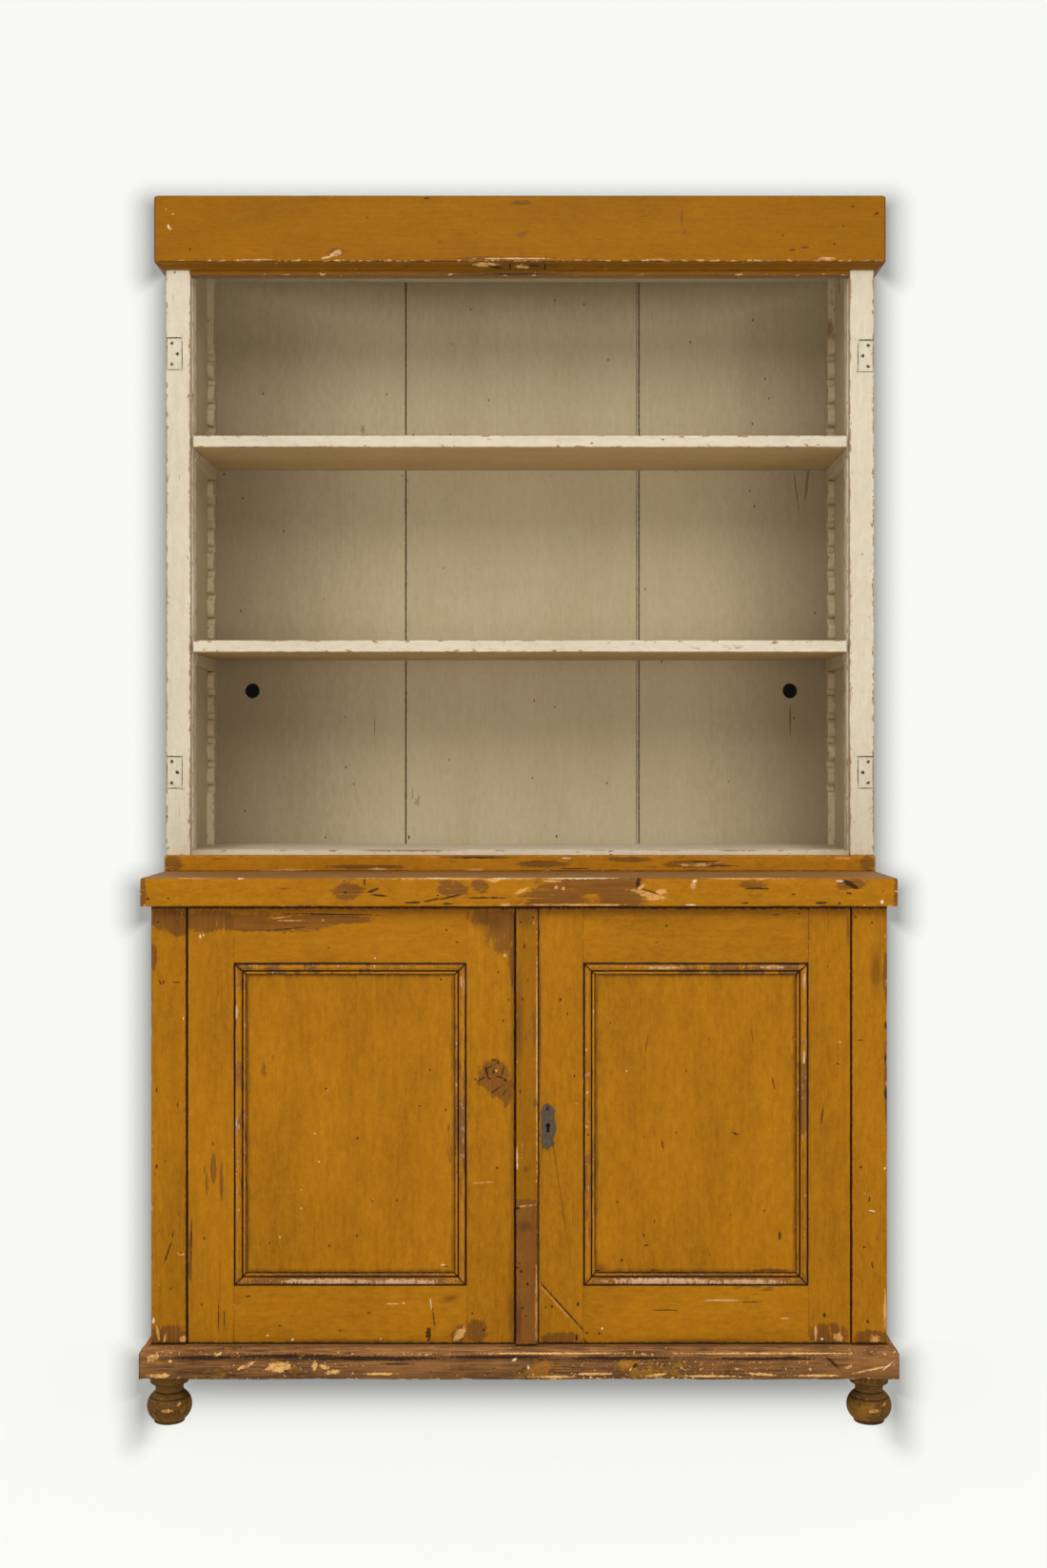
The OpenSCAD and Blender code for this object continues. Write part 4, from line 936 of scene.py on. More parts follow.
@dataclass(frozen=True)
class Run:
    """A section carried along a straight line.

    origin, along, across and up place it in metres. mitre_start and mitre_end shift an end along
    the line by that share of the across coordinate, for a mitre. In mm, step is the distance
    between rings, end_ease the easing of a square end, corner_round the radius of a mitred corner
    and joint the width of the dirt in one. sway is the slow wander of an arris that has been
    knocked, as a share of its knock.
    """

    origin: Vec3
    along: Vec3
    across: Vec3
    up: Vec3
    length: float
    mitre_start: float = 0.0
    mitre_end: float = 0.0
    step: float = 5.0
    end_ease: float = 1.2
    corner_round: float = 0.0
    joint: float = 1.0
    sway: float = 0.15

    def skin(self, section: Section, seed: int, every: float) -> Surface:
        """Carry the section along the line.

        A point is the origin, plus its way along the line, plus the section's point drawn in at
        each knocked corner by that corner's dents and its slow wander. Rings near a square end
        are drawn in along their normals, on a quarter circle.

        Args:
            section: The section to carry.
            seed: The number that makes the dents.
            every: The mean distance in mm between two dents.

        Returns:
            The closed skin.
        """
        ring, pull, inward, coat = section.outline()
        count = max(8, math.ceil(self.length / (self.step * MM)))
        ease = self.end_ease * MM
        angle = np.linspace(np.pi / 2, 0, 4)
        square = self.mitre_start == 0 and self.mitre_end == 0
        bend = self.corner_round * MM
        mitred = np.linspace(0, bend, 7) if bend else self.joint * MM * np.array([0, 0.6, 1.3, 2.2])
        lead = ease * (1 - np.sin(angle)) if square else mitred
        inset = ease * (1 - np.cos(angle)) if square else np.zeros(lead.size)
        middle = np.linspace(lead[-1], self.length - lead[-1], count)[1:-1]
        s = np.concatenate([lead, middle, self.length - lead[::-1]])
        draw = np.concatenate([inset, np.zeros(middle.size), inset[::-1]])
        depths = np.stack(
            [
                corner.knock
                * (
                    self.sway * (1 + wander(s, 0.05, seed + 31 * i))
                    + nicks(s, every * MM, 9 * MM, 1.0, seed + 17 * i)
                )
                for i, corner in enumerate(section.corners)
            ],
            1,
        )
        worn = ring[None] + np.einsum("ui,vi,ik->uvk", depths, pull, inward)
        tangent = np.roll(ring, -1, 0) - np.roll(ring, 1, 0)
        normal = np.stack([-tangent[:, 1], tangent[:, 0]], 1)
        normal /= np.linalg.norm(normal, axis=1)[:, None] + 1e-9
        area = (ring[:, 0] * np.roll(ring[:, 1], -1) - np.roll(ring[:, 0], -1) * ring[:, 1]).sum()
        worn = worn * MM + np.sign(area) * normal[None] * draw[:, None, None]
        if bend:
            outwards = (ring[:, 0] / ring[:, 0].max()).clip(0, 1) ** 2
            worn[..., 0] -= self.rounding(s, bend)[:, None] * outwards
        start = self.mitre_start * worn[..., 0]
        end = self.length + self.mitre_end * worn[..., 0]
        way = start + (end - start) * (s / self.length)[:, None]
        points = (
            np.array(self.origin)
            + way[..., None] * np.array(self.along)
            + worn[..., :1] * np.array(self.across)
            + worn[..., 1:] * np.array(self.up)
        )
        round_points = len(ring)
        quads = grid_quads(len(s), round_points)
        first = np.arange(round_points)
        last = first[::-1] + (len(s) - 1) * round_points
        wear, grime = np.tile(coat, (len(s), 1)).T
        if not square:
            near = np.minimum.reduce(self.ways_to_mitres(s))
            in_joint = 1.1 * np.exp(-((near / (self.joint * MM)) ** 2))
            grime = np.maximum(grime, np.repeat(in_joint, round_points))
        caps = [first[::-1], last[::-1]]
        return Surface(points.reshape(-1, 3), quads, caps, wear, grime).outward()

    def ways_to_mitres(self, s: np.ndarray) -> list[np.ndarray]:
        """Return how far the places s along the line lie from each of its mitred ends."""
        ends = ((self.mitre_start, s), (self.mitre_end, self.length - s))
        return [way for mitre, way in ends if mitre]

    def rounding(self, s: np.ndarray, bend: float) -> np.ndarray:
        """Return how far the outer face draws in near a mitred end, for a rounded corner.

        A quarter circle of radius r meets the mitre at a share of 1 - 1 / sqrt(2) of r from the
        corner. At a distance t from the corner the face draws in by r - sqrt(r r - (r - t)(r - t)).
        """
        start = 1 - math.sqrt(0.5)
        drawn = np.zeros(s.size)
        for way in self.ways_to_mitres(s):
            t = bend * start + np.minimum(way, bend) * (1 - start)
            drawn = np.maximum(drawn, bend - np.sqrt(bend**2 - (bend - t) ** 2))
        return drawn


def turned(profile: np.ndarray, middle: Vec3, steps: int = 96) -> Surface:
    """Turn a profile round an upright line, as a wood turner does.

    A point lies at the profile's radius from the line, at the angle of its step round it.

    Args:
        profile: Radius and height of each point in metres, from the foot up.
        middle: A point on the line.
        steps: The number of points round.

    Returns:
        The closed skin.
    """
    angle = np.linspace(0, 2 * np.pi, steps, endpoint=False)
    x = middle[0] + profile[:, :1] * np.cos(angle)
    y = middle[1] + profile[:, :1] * np.sin(angle)
    z = middle[2] + np.repeat(profile[:, 1:], steps, 1)
    points = np.stack([x, y, z], -1).reshape(-1, 3)
    first = np.arange(steps)
    last = first + (len(profile) - 1) * steps
    return Surface(points, grid_quads(len(profile), steps), [first[::-1], last]).outward()


def arc(middle: Pair, radius: float, start: float, end: float, count: int) -> np.ndarray:
    """Return points on a circle from one angle to another, in degrees."""
    angle = np.radians(np.linspace(start, end, count))
    return np.stack([middle[0] + radius * np.cos(angle), middle[1] + radius * np.sin(angle)], 1)


def corners_of(node: str) -> tuple[np.ndarray, np.ndarray]:
    """Return the lowest and highest corner of a node as arrays, in metres."""
    low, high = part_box(node)
    return np.array(low), np.array(high)


def dress(node: str, material: Material, ease: float = 0.7) -> None:
    """Give a CAD node its finish, and ease its sharp arrises by a fraction of a millimetre.

    Args:
        node: The node's name.
        material: Its finish.
        ease: The width of the easing in mm, or 0 for none.
    """
    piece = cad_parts[node]
    for place in piece.material_slots:
        place.material = material
    if not piece.material_slots:
        piece.data.materials.append(material)
    if ease:
        weld = piece.modifiers.new("weld", "WELD")
        weld.merge_threshold = 0.01 * MM
        bevel = piece.modifiers.new("eased arrises", "BEVEL")
        bevel.width = ease * MM
        bevel.segments = 2
        bevel.limit_method = "ANGLE"
        bevel.angle_limit = math.radians(40)
    log.info("dressed %s with %s", node, material.name)


def place_piece(
    name: str, skin: Surface, material: Material, body: str,
    nodes: tuple[str, ...] = (), sharp: float = 38.0,
) -> None:
    """Make a piece from a skin, dress it, and let it ride on a body.

    Args:
        name: The piece's name.
        skin: Its points and faces.
        material: Its finish.
        body: The body that carries it.
        nodes: The CAD nodes that it stands for.
        sharp: The angle in degrees over which an edge stays crisp.
    """
    piece = mesh_object(name, skin, sharp)
    piece.data.materials.append(material)
    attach(piece, body)
    if nodes:
        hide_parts(*nodes)
    log.info("made %s: %d points", name, len(skin.points))


def paint(node: str, coat: Coat, grain: Grain, marks: Marks = (), **more: object) -> Material:
    """Return the painted finish of the board that a node stands for."""
    low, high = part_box(node)
    return PaintedWood(node, tuple(low), tuple(high), coat, grain, marks=marks, **more).material()


def upright(
    node: str, first: Vec3, second: Vec3, every: float, rear: float = 0.8, pitch: float = 14.0,
    flipped: bool = False,
) -> Surface:
    """Make the skin of an upright board with two knocked front arrises.

    Args:
        node: The CAD node that it stands for.
        first: The easing, knock and rub of its left front arris.
        second: The same of its right one.
        every: The mean distance in mm between two dents.
        rear: The easing of the rear arrises in mm.
        pitch: The distance in mm between the section's points.
        flipped: Whether left and right change places.

    Returns:
        The closed skin.
    """
    low, high = corners_of(node)
    width, deep = (high[0] - low[0]) / MM, (high[1] - low[1]) / MM
    corners = (
        Corner(0, 0, *first), Corner(width, 0, *second), Corner(width, deep, rear),
        Corner(0, deep, rear),
    )
    start, across = (high[0], (-1, 0, 0)) if flipped else (low[0], (1, 0, 0))
    run = Run((start, low[1], low[2]), (0, 0, 1), across, (0, 1, 0), high[2] - low[2], end_ease=0.6)
    return run.skin(Section(corners, pitch), seed_of(node), every)


@dataclass(frozen=True)
class Lamp:
    """A soft box lamp: its place, the point that it faces, its size in metres and its watts."""

    name: str
    at: Vec3
    to: Vec3
    wide: float
    high: float
    power: float

    def hang(self) -> None:
        """Hang the lamp and turn it to its point."""
        light = bpy.data.lights.new(self.name, "AREA")
        light.shape = "RECTANGLE"
        light.size = self.wide
        light.size_y = self.high
        light.energy = self.power
        lamp = placed(self.name, light)
        lamp.location = self.at
        away = np.array(self.at, float) - np.array(self.to, float)
        flat = math.hypot(away[0], away[1])
        lamp.rotation_euler = (math.atan2(flat, away[2]), 0.0, math.atan2(away[0], -away[1]))


@dataclass
class Stage:
    """A pale paper backdrop close behind the cabinet, a pale floor, soft lamps and the camera.

    Lengths are in metres. The halo is the shade round the cabinet: its reach and its drop are
    shares of the distance from the lens, its depth is how much light it takes at the outline, and
    its fall is how fast that fades. dim_x and dim_y are where the floor's shade under the cabinet
    begins and is full. Behind the case, out to cover and up to cover over cover_z, the backdrop
    carries painted shade and is dark, so that no paper shines through the holes in the cabinet's
    back.
    """

    paper: str = "#F8F9F4"
    half_width: float = 8.0
    run: float = 7.0
    wall_gap: float = 0.012
    halo_reach: float = 0.0180
    halo_drop: float = 0.0070
    halo_depth: float = 0.61
    halo_fall: float = 1.6
    upper_outline: tuple[Ends, ...] = (
        ("cornice_front", "cornice_front"),
        ("face_stile_left", "face_stile_right"),
    )
    lower_outline: tuple[Ends, ...] = (
        ("worktop", "worktop"), ("corner_stile_left", "corner_stile_right"),
        ("plinth_front", "plinth_front"), ("foot_front_left", "foot_front_left"),
        ("foot_front_right", "foot_front_right"),
    )
    floor_share: float = 0.15
    under_cabinet: float = 0.36
    dim_x: Pair = (0.68, 0.6)
    dim_y: Pair = (-0.19, 0.03)
    cover: Pair = (0.58, 0.62)
    cover_z: float = 1.4
    behind_case_shade: float = 0.012
    ambient: Pair = (0.1, 1.25)
    lamps: tuple[Lamp, ...] = (
        Lamp("window light", (0.1, -3.3, 1.2), (0, 0, 0.9), 1.1, 1.1, 20.0),
        Lamp("side light left", (-2.9, -2.7, 1.9), (0, 0, 1.0), 1.6, 2.2, 5.0),
        Lamp("side light right", (2.9, -2.7, 1.9), (0, 0, 1.0), 1.6, 2.2, 5.0),
        Lamp("ceiling light", (0, -2.7, 3.4), (0, 0, 0.7), 2.8, 1.4, 48.0),
    )
    eye: Vec3 = (0.028, -3.49, 1.149)
    lens: float = 43.19
    shift: Pair = (-0.0075, -0.0137)

    def build(self) -> None:
        """Set up the floor, the backdrop, the world, the lamps and the camera."""
        back = cad_box[1][1] + self.wall_gap
        wide, run = self.half_width, self.run
        floor = self.sheet("floor", (-wide, -run, 0), (wide, run, 0), self.floor_material())
        wall = self.sheet("backdrop", (-wide, back, 0), (wide, back, run), self.wall_material())
        self.world()
        for lamp in self.lamps:
            lamp.hang()
        self.camera()

    def sheet(self, name: str, low: Vec3, high: Vec3, paper: Material) -> Object:
        """Make a flat sheet of paper between two corners, which throws no shadow.

        Args:
            name: The sheet's name.
            low: Its lower or nearer left corner.
            high: Its upper or farther right corner.
            paper: Its finish.

        Returns:
            The sheet.
        """
        near, far = np.array(low, float), np.array(high, float)
        across = (far - near) * (1, 0, 0)
        mesh = bpy.data.meshes.new(name)
        mesh.from_pydata([near, near + across, far, far - across], [], [(0, 1, 2, 3)])
        piece = placed(name, mesh)
        piece.visible_shadow = False
        piece.data.materials.append(paper)
        return piece

    def seen(self, tree: Tree) -> Socket:
        """Add the mask of the rays that show the background: from the camera, and through gloss."""
        rays = add(tree, "LightPath", {}).node.outputs
        shiny = add(
            tree, "Math", {0: rays["Is Glossy Ray"], 1: rays["Is Transmission Ray"]},
            operation="MAXIMUM",
        )
        return add(tree, "Math", {0: rays["Is Camera Ray"], 1: shiny}, operation="MAXIMUM")

    def floor_material(self) -> Material:
        """Make the floor: pale paper, partly plain and partly lit, so that it keeps the shadow.

        The plain share falls off under the cabinet, from its front edge inwards.
        """
        material, tree = blank("pale paper floor")
        share = self.floor_share
        red, green, blue, _ = linear(self.paper)
        lit = add(tree, "BsdfDiffuse", {"Color": (red * share, green * share, blue * share, 1.0)})
        place = add(tree, "TexCoord", {}, output="Object")
        x, y, _ = add(tree, "SeparateXYZ", {0: place}).node.outputs
        aside = add(tree, "Math", {0: x}, operation="ABSOLUTE")
        deep, within = (
            add(tree, "MapRange", {0: way, 1: edge[0], 2: edge[1]}, **SOFT)
            for way, edge in ((y, self.dim_y), (aside, self.dim_x))
        )
        under = add(tree, "Math", {0: deep, 1: within}, operation="MULTIPLY")
        without = add(tree, "Math", {0: 1.0, 1: within}, operation="SUBTRACT")
        gone = 1.0 - self.under_cabinet
        halo = add(tree, "Math", {0: self.halo(tree), 1: gone}, operation="DIVIDE")
        around = add(tree, "Math", {0: halo, 1: without}, operation="MULTIPLY")
        dark = add(tree, "Math", {0: under, 1: around}, operation="MAXIMUM")
        bright = 1.0 - share
        ends = {3: bright, 4: bright * self.under_cabinet}
        level = add(tree, "MapRange", {0: dark, 1: 0.0, 2: 1.0, **ends})
        plain = add(tree, "Emission", {"Color": linear(self.paper), "Strength": level})
        shown = add(tree, "AddShader", {0: lit, 1: plain})
        hidden = add(tree, "BsdfDiffuse", {"Color": (0.78, 0.78, 0.76, 1.0)})
        both = add(tree, "MixShader", {0: self.seen(tree), 1: hidden, 2: shown})
        show(tree, both)
        return material

    def wall_material(self) -> Material:
        """Make the backdrop: plain pale paper with a narrow soft shade close to the cabinet.

        The shade is what the cabinet hides from the paper within a hand's breadth. From behind the
        backdrop isn't there, and it keeps no light off the cabinet's back.
        """
        material, tree = blank("pale paper backdrop")
        place = add(tree, "TexCoord", {}, output="Object")
        x, _, z = add(tree, "SeparateXYZ", {0: place}).node.outputs
        aside = add(tree, "Math", {0: x}, operation="ABSOLUTE")
        # Painted shade behind the case: the paper is dark where the case stands before it.
        above = add(tree, "Math", {0: z, 1: self.cover_z}, operation="SUBTRACT")
        past = add(tree, "Math", {0: above, 1: aside}, operation="MAXIMUM")
        start, end = self.cover
        outside = add(tree, "MapRange", {0: past, 1: start, 2: end, 3: self.behind_case_shade, 4: 1.0})
        level = add(tree, "Math", {0: 1.0, 1: self.halo(tree)}, operation="SUBTRACT")
        level = add(tree, "Math", {0: level, 1: outside}, operation="MULTIPLY")
        plain = add(tree, "Emission", {"Color": linear(self.paper), "Strength": level})
        hidden = add(tree, "BsdfTransparent", {})
        both = add(tree, "MixShader", {0: self.seen(tree), 1: hidden, 2: plain})
        reverse = add(tree, "NewGeometry", {}, output="Backfacing")
        clear = add(tree, "BsdfTransparent", {})
        both = add(tree, "MixShader", {0: reverse, 1: both, 2: clear})
        show(tree, both)
        return material

    def halo(self, tree: Tree) -> Socket:
        """Add the shade round the cabinet's outline, as a soft lamp at the lens would throw it.

        A direction from the lens is (P - eye) / (P.y - eye.y), and the front of each part fills a
        rectangle there. With d the distance from the nearest one, a little lower than it is,
        shade = depth * (1 - d / reach) ** fall.
        """
        place = add(tree, "TexCoord", {}, output="Object")
        ray = add(tree, "VectorMath", {0: place, 1: self.eye}, operation="SUBTRACT")
        along = add(tree, "SeparateXYZ", {0: ray}, output=1)
        way = add(tree, "VectorMath", {0: ray, 1: along}, operation="DIVIDE")
        levels = []
        for outline in (self.upper_outline, self.lower_outline):
            nearest: Socket | float = 1.0
            for left, right in outline:
                gap = self.from_part(tree, way, left, right)
                nearest = add(tree, "Math", {0: gap, 1: nearest}, operation="MINIMUM")
            near = add(tree, "MapRange", {0: nearest, 1: 0.0, 2: self.halo_reach, 3: 1.0, 4: 0.0})
            soft = add(tree, "Math", {0: near, 1: self.halo_fall}, operation="POWER")
            dark = add(tree, "Math", {0: soft, 1: self.halo_depth}, operation="MULTIPLY")
            levels.append(add(tree, "Math", {0: 1.0, 1: dark}, operation="SUBTRACT"))
        lit = add(tree, "Math", {0: levels[0], 1: levels[1]}, operation="MULTIPLY")
        return add(tree, "Math", {0: 1.0, 1: lit}, operation="SUBTRACT")

    def from_part(self, tree: Tree, way: Socket, left: str, right: str) -> Socket:
        """Add how far a direction from the lens lies outside the front of a part.

        Args:
            tree: The node tree.
            way: The direction, with 1 along Y.
            left: The CAD node at the part's left end.
            right: The CAD node at its right end.

        Returns:
            The distance, 0 inside.
        """
        eye = np.array(self.eye)
        low, high = corners_of(left)[0], corners_of(right)[1]
        high[1] = low[1]
        low, high = ((corner - eye) / (low[1] - eye[1]) for corner in (low, high))
        middle = (low + high) / 2 - (0.0, 0.0, self.halo_drop)
        offset = add(tree, "VectorMath", {0: way, 1: middle}, operation="SUBTRACT")
        aside = add(tree, "VectorMath", {0: offset}, operation="ABSOLUTE")
        past = add(tree, "VectorMath", {0: aside, 1: (high - low) / 2}, operation="SUBTRACT")
        clear = add(tree, "VectorMath", {0: past, 1: (0, 0, 0)}, operation="MAXIMUM")
        return add(tree, "VectorMath", {0: clear}, "Value", operation="LENGTH")

    def world(self) -> None:
        """Make a world that lights the shadows evenly and shows the paper's colour elsewhere."""
        world = bpy.data.worlds.new("soft room")
        bpy.context.scene.world = world
        tree = emptied(world)
        way = add(tree, "TexCoord", {}, output="Generated")
        up = add(tree, "SeparateXYZ", {0: way}, output=2)
        low, rise = self.ambient
        sky = add(tree, "MapRange", {0: up, 1: 0.0, 2: 1.0, 3: low, 4: low + rise})
        room = add(tree, "Background", {"Color": (1.0, 0.985, 0.96, 1.0), "Strength": sky})
        shown = add(tree, "Background", {"Color": linear(self.paper), "Strength": 1.0})
        both = add(tree, "MixShader", {0: self.seen(tree), 1: room, 2: shown})
        show(tree, both, "OutputWorld")

    def camera(self) -> None:
        """Stand the camera straight before the cabinet, at the height of a chest, and level."""
        data = bpy.data.cameras.new("camera")
        data.lens = self.lens
        data.sensor_width = 36.0
        data.shift_x, data.shift_y = self.shift
        camera = placed("camera", data)
        camera.location = self.eye
        camera.rotation_euler = (math.pi / 2, 0.0, 0.0)
        bpy.context.scene.camera = camera


@dataclass
class Band:
    """A board carried round the front and both sides of a case, with mitred corners.

    The section's first coordinate is the way out from the case and its second the height, in mm,
    and x, front and back are the faces of the case in metres.
    """

    x: float
    front: float
    back: float
    front_out: float
    side_out: float
    corner_round: float = 0.0

    def runs(self) -> dict[str, tuple[Run, float, Grain]]:
        """Return the front, left and right lengths: the run, its way out in mm and its grain."""
        ratio = self.side_out / self.front_out
        front = Run(
            (-self.x, self.front, 0.0), (1, 0, 0), (0, -1, 0), (0, 0, 1), 2 * self.x, -ratio, ratio,
            corner_round=self.corner_round,
        )
        lengths = {"front": (front, self.front_out / MM, ACROSS)}
        for place, sign in (("left", -1), ("right", 1)):
            run = Run(
                (sign * self.x, self.back, 0.0), (0, -1, 0), (sign, 0, 0), (0, 0, 1),
                self.back - self.front, 0.0, 1 / ratio, corner_round=self.corner_round,
            )
            lengths[place] = (run, self.side_out / MM, DEEP)
        return lengths


@dataclass
class UpperCase:
    """The open upper case: cornice, face stiles, shelves on notched supports and back boards.

    face_y, half_width and back_y are the case's faces in metres. In mm, board_y is the front face
    of the back boards, board_rear the plane behind which they are bare, and side_skin the one
    outside of which the cream sides are ochre.
    """

    face_y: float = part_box("face_stile_left")[0][1]
    half_width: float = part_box("face_stile_right")[1][0]
    back_y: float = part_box("upper_side_right")[1][1]
    board_y: float = 235
    board_rear: float = 248
    side_skin: float = 648
    body: str = "carcase"

    def build(self) -> None:
        """Make and dress every piece of the upper case."""
        self.cornice()
        self.bed_mould()
        self.face()
        self.back_boards()
        self.inside()
        self.shelves()

    def band(self) -> Band:
        """Return the band of the cornice, whose outer corners are a little rounded."""
        front_out = self.face_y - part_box("cornice_front")[0][1]
        side_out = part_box("cornice_right")[1][0] - self.half_width
        return Band(self.half_width, self.face_y, self.back_y, front_out, side_out, 6.0)

    def cornice(self) -> None:
        """Make the deep cornice: three mitred boards with dented upper and rubbed lower arrises."""
        low, high = corners_of("cornice_front")
        z, top = low[2] / MM, high[2] / MM
        marks = (
            *spots(
                WORN, (-336, 2079, 34, 18, 10), (4, 2170, 38, 9), (295, 2140, 4, 34),
                (300, 2118, 6, 12), (-30, 2069, 190, 8),
            ),
            Mark(SCAR, 0, 2064, WHOLE, 5),
            *spots(
                BARE, (-336, 2077, 22, 9, 20), (-352, 2070, 22, 4, 12), (-10, 2068, 130, 3),
                (250, 2066, 40, 3), (560, 2068, 30, 5), (-480, 2066, 60, 2.4),
            ),
            *spots(
                DARK, (-170, 2178, 10, 4), (573, 2095, 4, 4), (-146, 2098, 3, 3),
                (650, 2150, 9, 4, 30), (590, 2128, 4, 3), (480, 2110, 3, 3), (520, 2088, 14, 3),
                (498, 2084, 10, 3),
            ),
            *spots(
                CHALK, (-641, 2126, 5, 10, 25), (-637, 2122, 3, 7, -35), (-633, 2149, 4, 3),
                (-645, 2158, 3, 2),
            ),
            *spots(DUST_AND_SHADE, (0, 2185, WHOLE, 9), (668, 2124, 9, 240), (-668, 2124, 6, 240)),
        )
        for place, (run, out, grain) in self.band().runs().items():
            lower, upper = Corner(out, z, 1.6, 1.1, 1.0), Corner(out, top, 5.0, 1.2, 0.85)
            section = Section((Corner(0, z), lower, upper, Corner(0, top)))
            node = f"cornice_{place}"
            skin = run.skin(section, seed_of(node), every=70)
            finish = paint(
                node, OCHRE_CORNICE, grain, marks if place == "front" else (), arris=1.3,
                chipped=0.13, shaped=True,
            )
            place_piece(f"{node}_board", skin, finish, self.body, (node,))

    def bed_mould(self) -> None:
        """Make the bevelled bed mould under the cornice, cracked at the middle by a knot."""
        low, high = corners_of("bed_mould")
        z, top = low[2] / MM, high[2] / MM
        marks = (
            Mark(WORN, -10, 2056, 190, 14, depth=30),
            *spots(BARE, (-62, 2058, 40, 6), (5, 2056, 26, 5), depth=30),
            *spots(
                DARK, (-44, 2055, 34, 4, -8), (-18, 2054, 4, 14), (46, 2054, 4, 14),
                (20, 2057, 44, 2.5), depth=30,
            ),
            # Painted shade: the whole bevel is darkened, as it faces down under the cornice.
            Mark(DUST_AND_SHADE, 0, 2057, WHOLE, 16, depth=WHOLE),
        )
        skins = []
        for place, (run, out, _) in self.band().runs().items():
            lip = out - 1.5
            corners = (
                Corner(0, z, 0.3), Corner(4, z, 0.5, 0.3, 0.6), Corner(lip, top - 2, 0.4, 0.6, 0.7),
                Corner(lip, top, 0.3, 0.0, 0.0, 1.0), Corner(0, top, 0.3),
            )
            section = Section(corners, pitch=6.0)
            skins.append(run.skin(section, seed_of(f"bed_{place}"), every=50))
        finish = paint(
            "bed_mould", OCHRE_STRIP, ACROSS, marks, arris=1.2, chipped=0.12, cracked=0.06,
            shaped=True,
        )
        mould = joined(skins)
        place_piece("bed_mould_runs", mould, finish, self.body, ("bed_mould",))

    def face(self) -> None:
        """Dress the face stiles, with their let-in hinge places, and the head rail, with painted
        shade on it under the bed mould.
        """
        recess_marks = {
            "face_stile_left": self.recess_marks(-1, 1131, 1899),
            "face_stile_right": self.recess_marks(1, 1131, 1895),
        }
        for node, marks in recess_marks.items():
            dress(node, paint(node, CREAM, UP, marks, arris=1.6, chipped=0.1, rubbed=0.004), 0.8)
        head = (
            # The soft darkening along the head rail and its dark cream underside are painted shade
            # under the bed mould.
            Mark(WORN, -40, 2046, 300, 8), Mark(DARK, -10, 2045, 120, 3),
            Mark(DUST_AND_SHADE, 0, 2044, 6000, 20),
        )
        finish = paint(
            "head_rail", OCHRE_CORNICE, ACROSS, head, arris=1.0,
            bare=BareBehind(2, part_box("head_rail")[0][2] / MM + 1.2, -1), inner=HEAD_SHADE_CREAM,
        )
        dress("head_rail", finish, 0.4)

    def recess_marks(self, side: int, lower: float, upper: float) -> Marks:
        """Return the marks of the two hinge recesses in a face stile: brown wear at the edge, and
        dark outlines and screw holes that are chipped paint and painted shade of their steps and
        holes.

        Args:
            side: -1 for the left stile and 1 for the right one.
            lower: The level of the lower recess in mm.
            upper: The level of the upper one.
        """
        edge = self.half_width / MM * side
        inner, middle = edge - 29 * side, edge - 14 * side
        screws, middle_screw = 639 * side, 629 * side
        marks = [Mark(SCAR, edge, 1500, 6, WHOLE), Mark(SCAR, 605 * side, 1500, 4.5, WHOLE)]
        for z in (lower, upper):
            marks.append(Mark(WORN, edge - side, z, 3, 66))
            marks += spots(
                DARK, (inner, z, 2.4, 68), (middle, z + 29.3, 36, 2.2), (middle, z - 29.3, 36, 2.2),
                (screws, z + 19.5, 6.5, 6.5), (screws, z - 19.5, 6.5, 6.5), (middle_screw, z, 7, 7),
            )
        return tuple(marks)

    def back_boards(self) -> None:
        """Dress the back boards: grime in their joints, painted shade in the corners and under the
        top, and some runs of damp.
        """
        low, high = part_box("upper_back_middle")
        rows = [(x / MM, 1500, 3.2, WHOLE) for x in (low[0], high[0])]
        joints = spots(DARK, *rows, y=self.board_y, depth=34)
        # Painted shade under the top and towards both sides, where less light reaches into the
        # case.
        under_top = (0, 2110, 2500, 220)
        boards = {
            "left": (spots(WORN, (-290, 1220, 2, 40)), (under_top, (-650, 1200, 900, 4000))),
            "middle": (spots(DARK, (-222, 1001, 4, 8), (70, 1003, 4, 8)), (under_top,)),
            "right": (
                spots(WORN, (533, 1236, 4, 66), (545, 1688, 3, 100, 8), (566, 1700, 5, 80, -6)),
                (under_top, (650, 1200, 700, 4000)),
            ),
        }
        for place, (stains, painted_shade) in boards.items():
            node = f"upper_back_{place}"
            marks = (*stains, *joints, *spots(DUST_AND_SHADE, *painted_shade, y=self.board_y, depth=60))
            finish = paint(
                node, AGED_SHADED_CREAM, UP, marks, arris=1.0, chipped=0.03, rubbed=0.004,
                cracked=0.004, bare=BareBehind(1, self.board_rear),
            )
            dress(node, finish, 0.0)

    def inside(self) -> None:
        """Dress the sides, supports, floor and ceiling of the case."""
        for side, facing in (("left", -1), ("right", 1)):
            node = f"upper_side_{side}"
            outside = BareBehind(0, self.side_skin * facing, facing)
            dress(node, paint(node, AGED_SHADED_CREAM, UP, arris=1.5, bare=outside, inner=OCHRE))
            for place, coat in (("front", CREAM), ("rear", AGED_SHADED_CREAM)):
                rail = f"notched_rail_{place}_{side}"
                dress(rail, paint(rail, coat, UP, arris=0.9, chipped=0.08), 0.5)
        for node in ("lower_shelf_battens", "upper_shelf_battens"):
            dress(node, paint(node, AGED_SHADED_CREAM, DEEP, arris=1.0, chipped=0.05), 0.5)
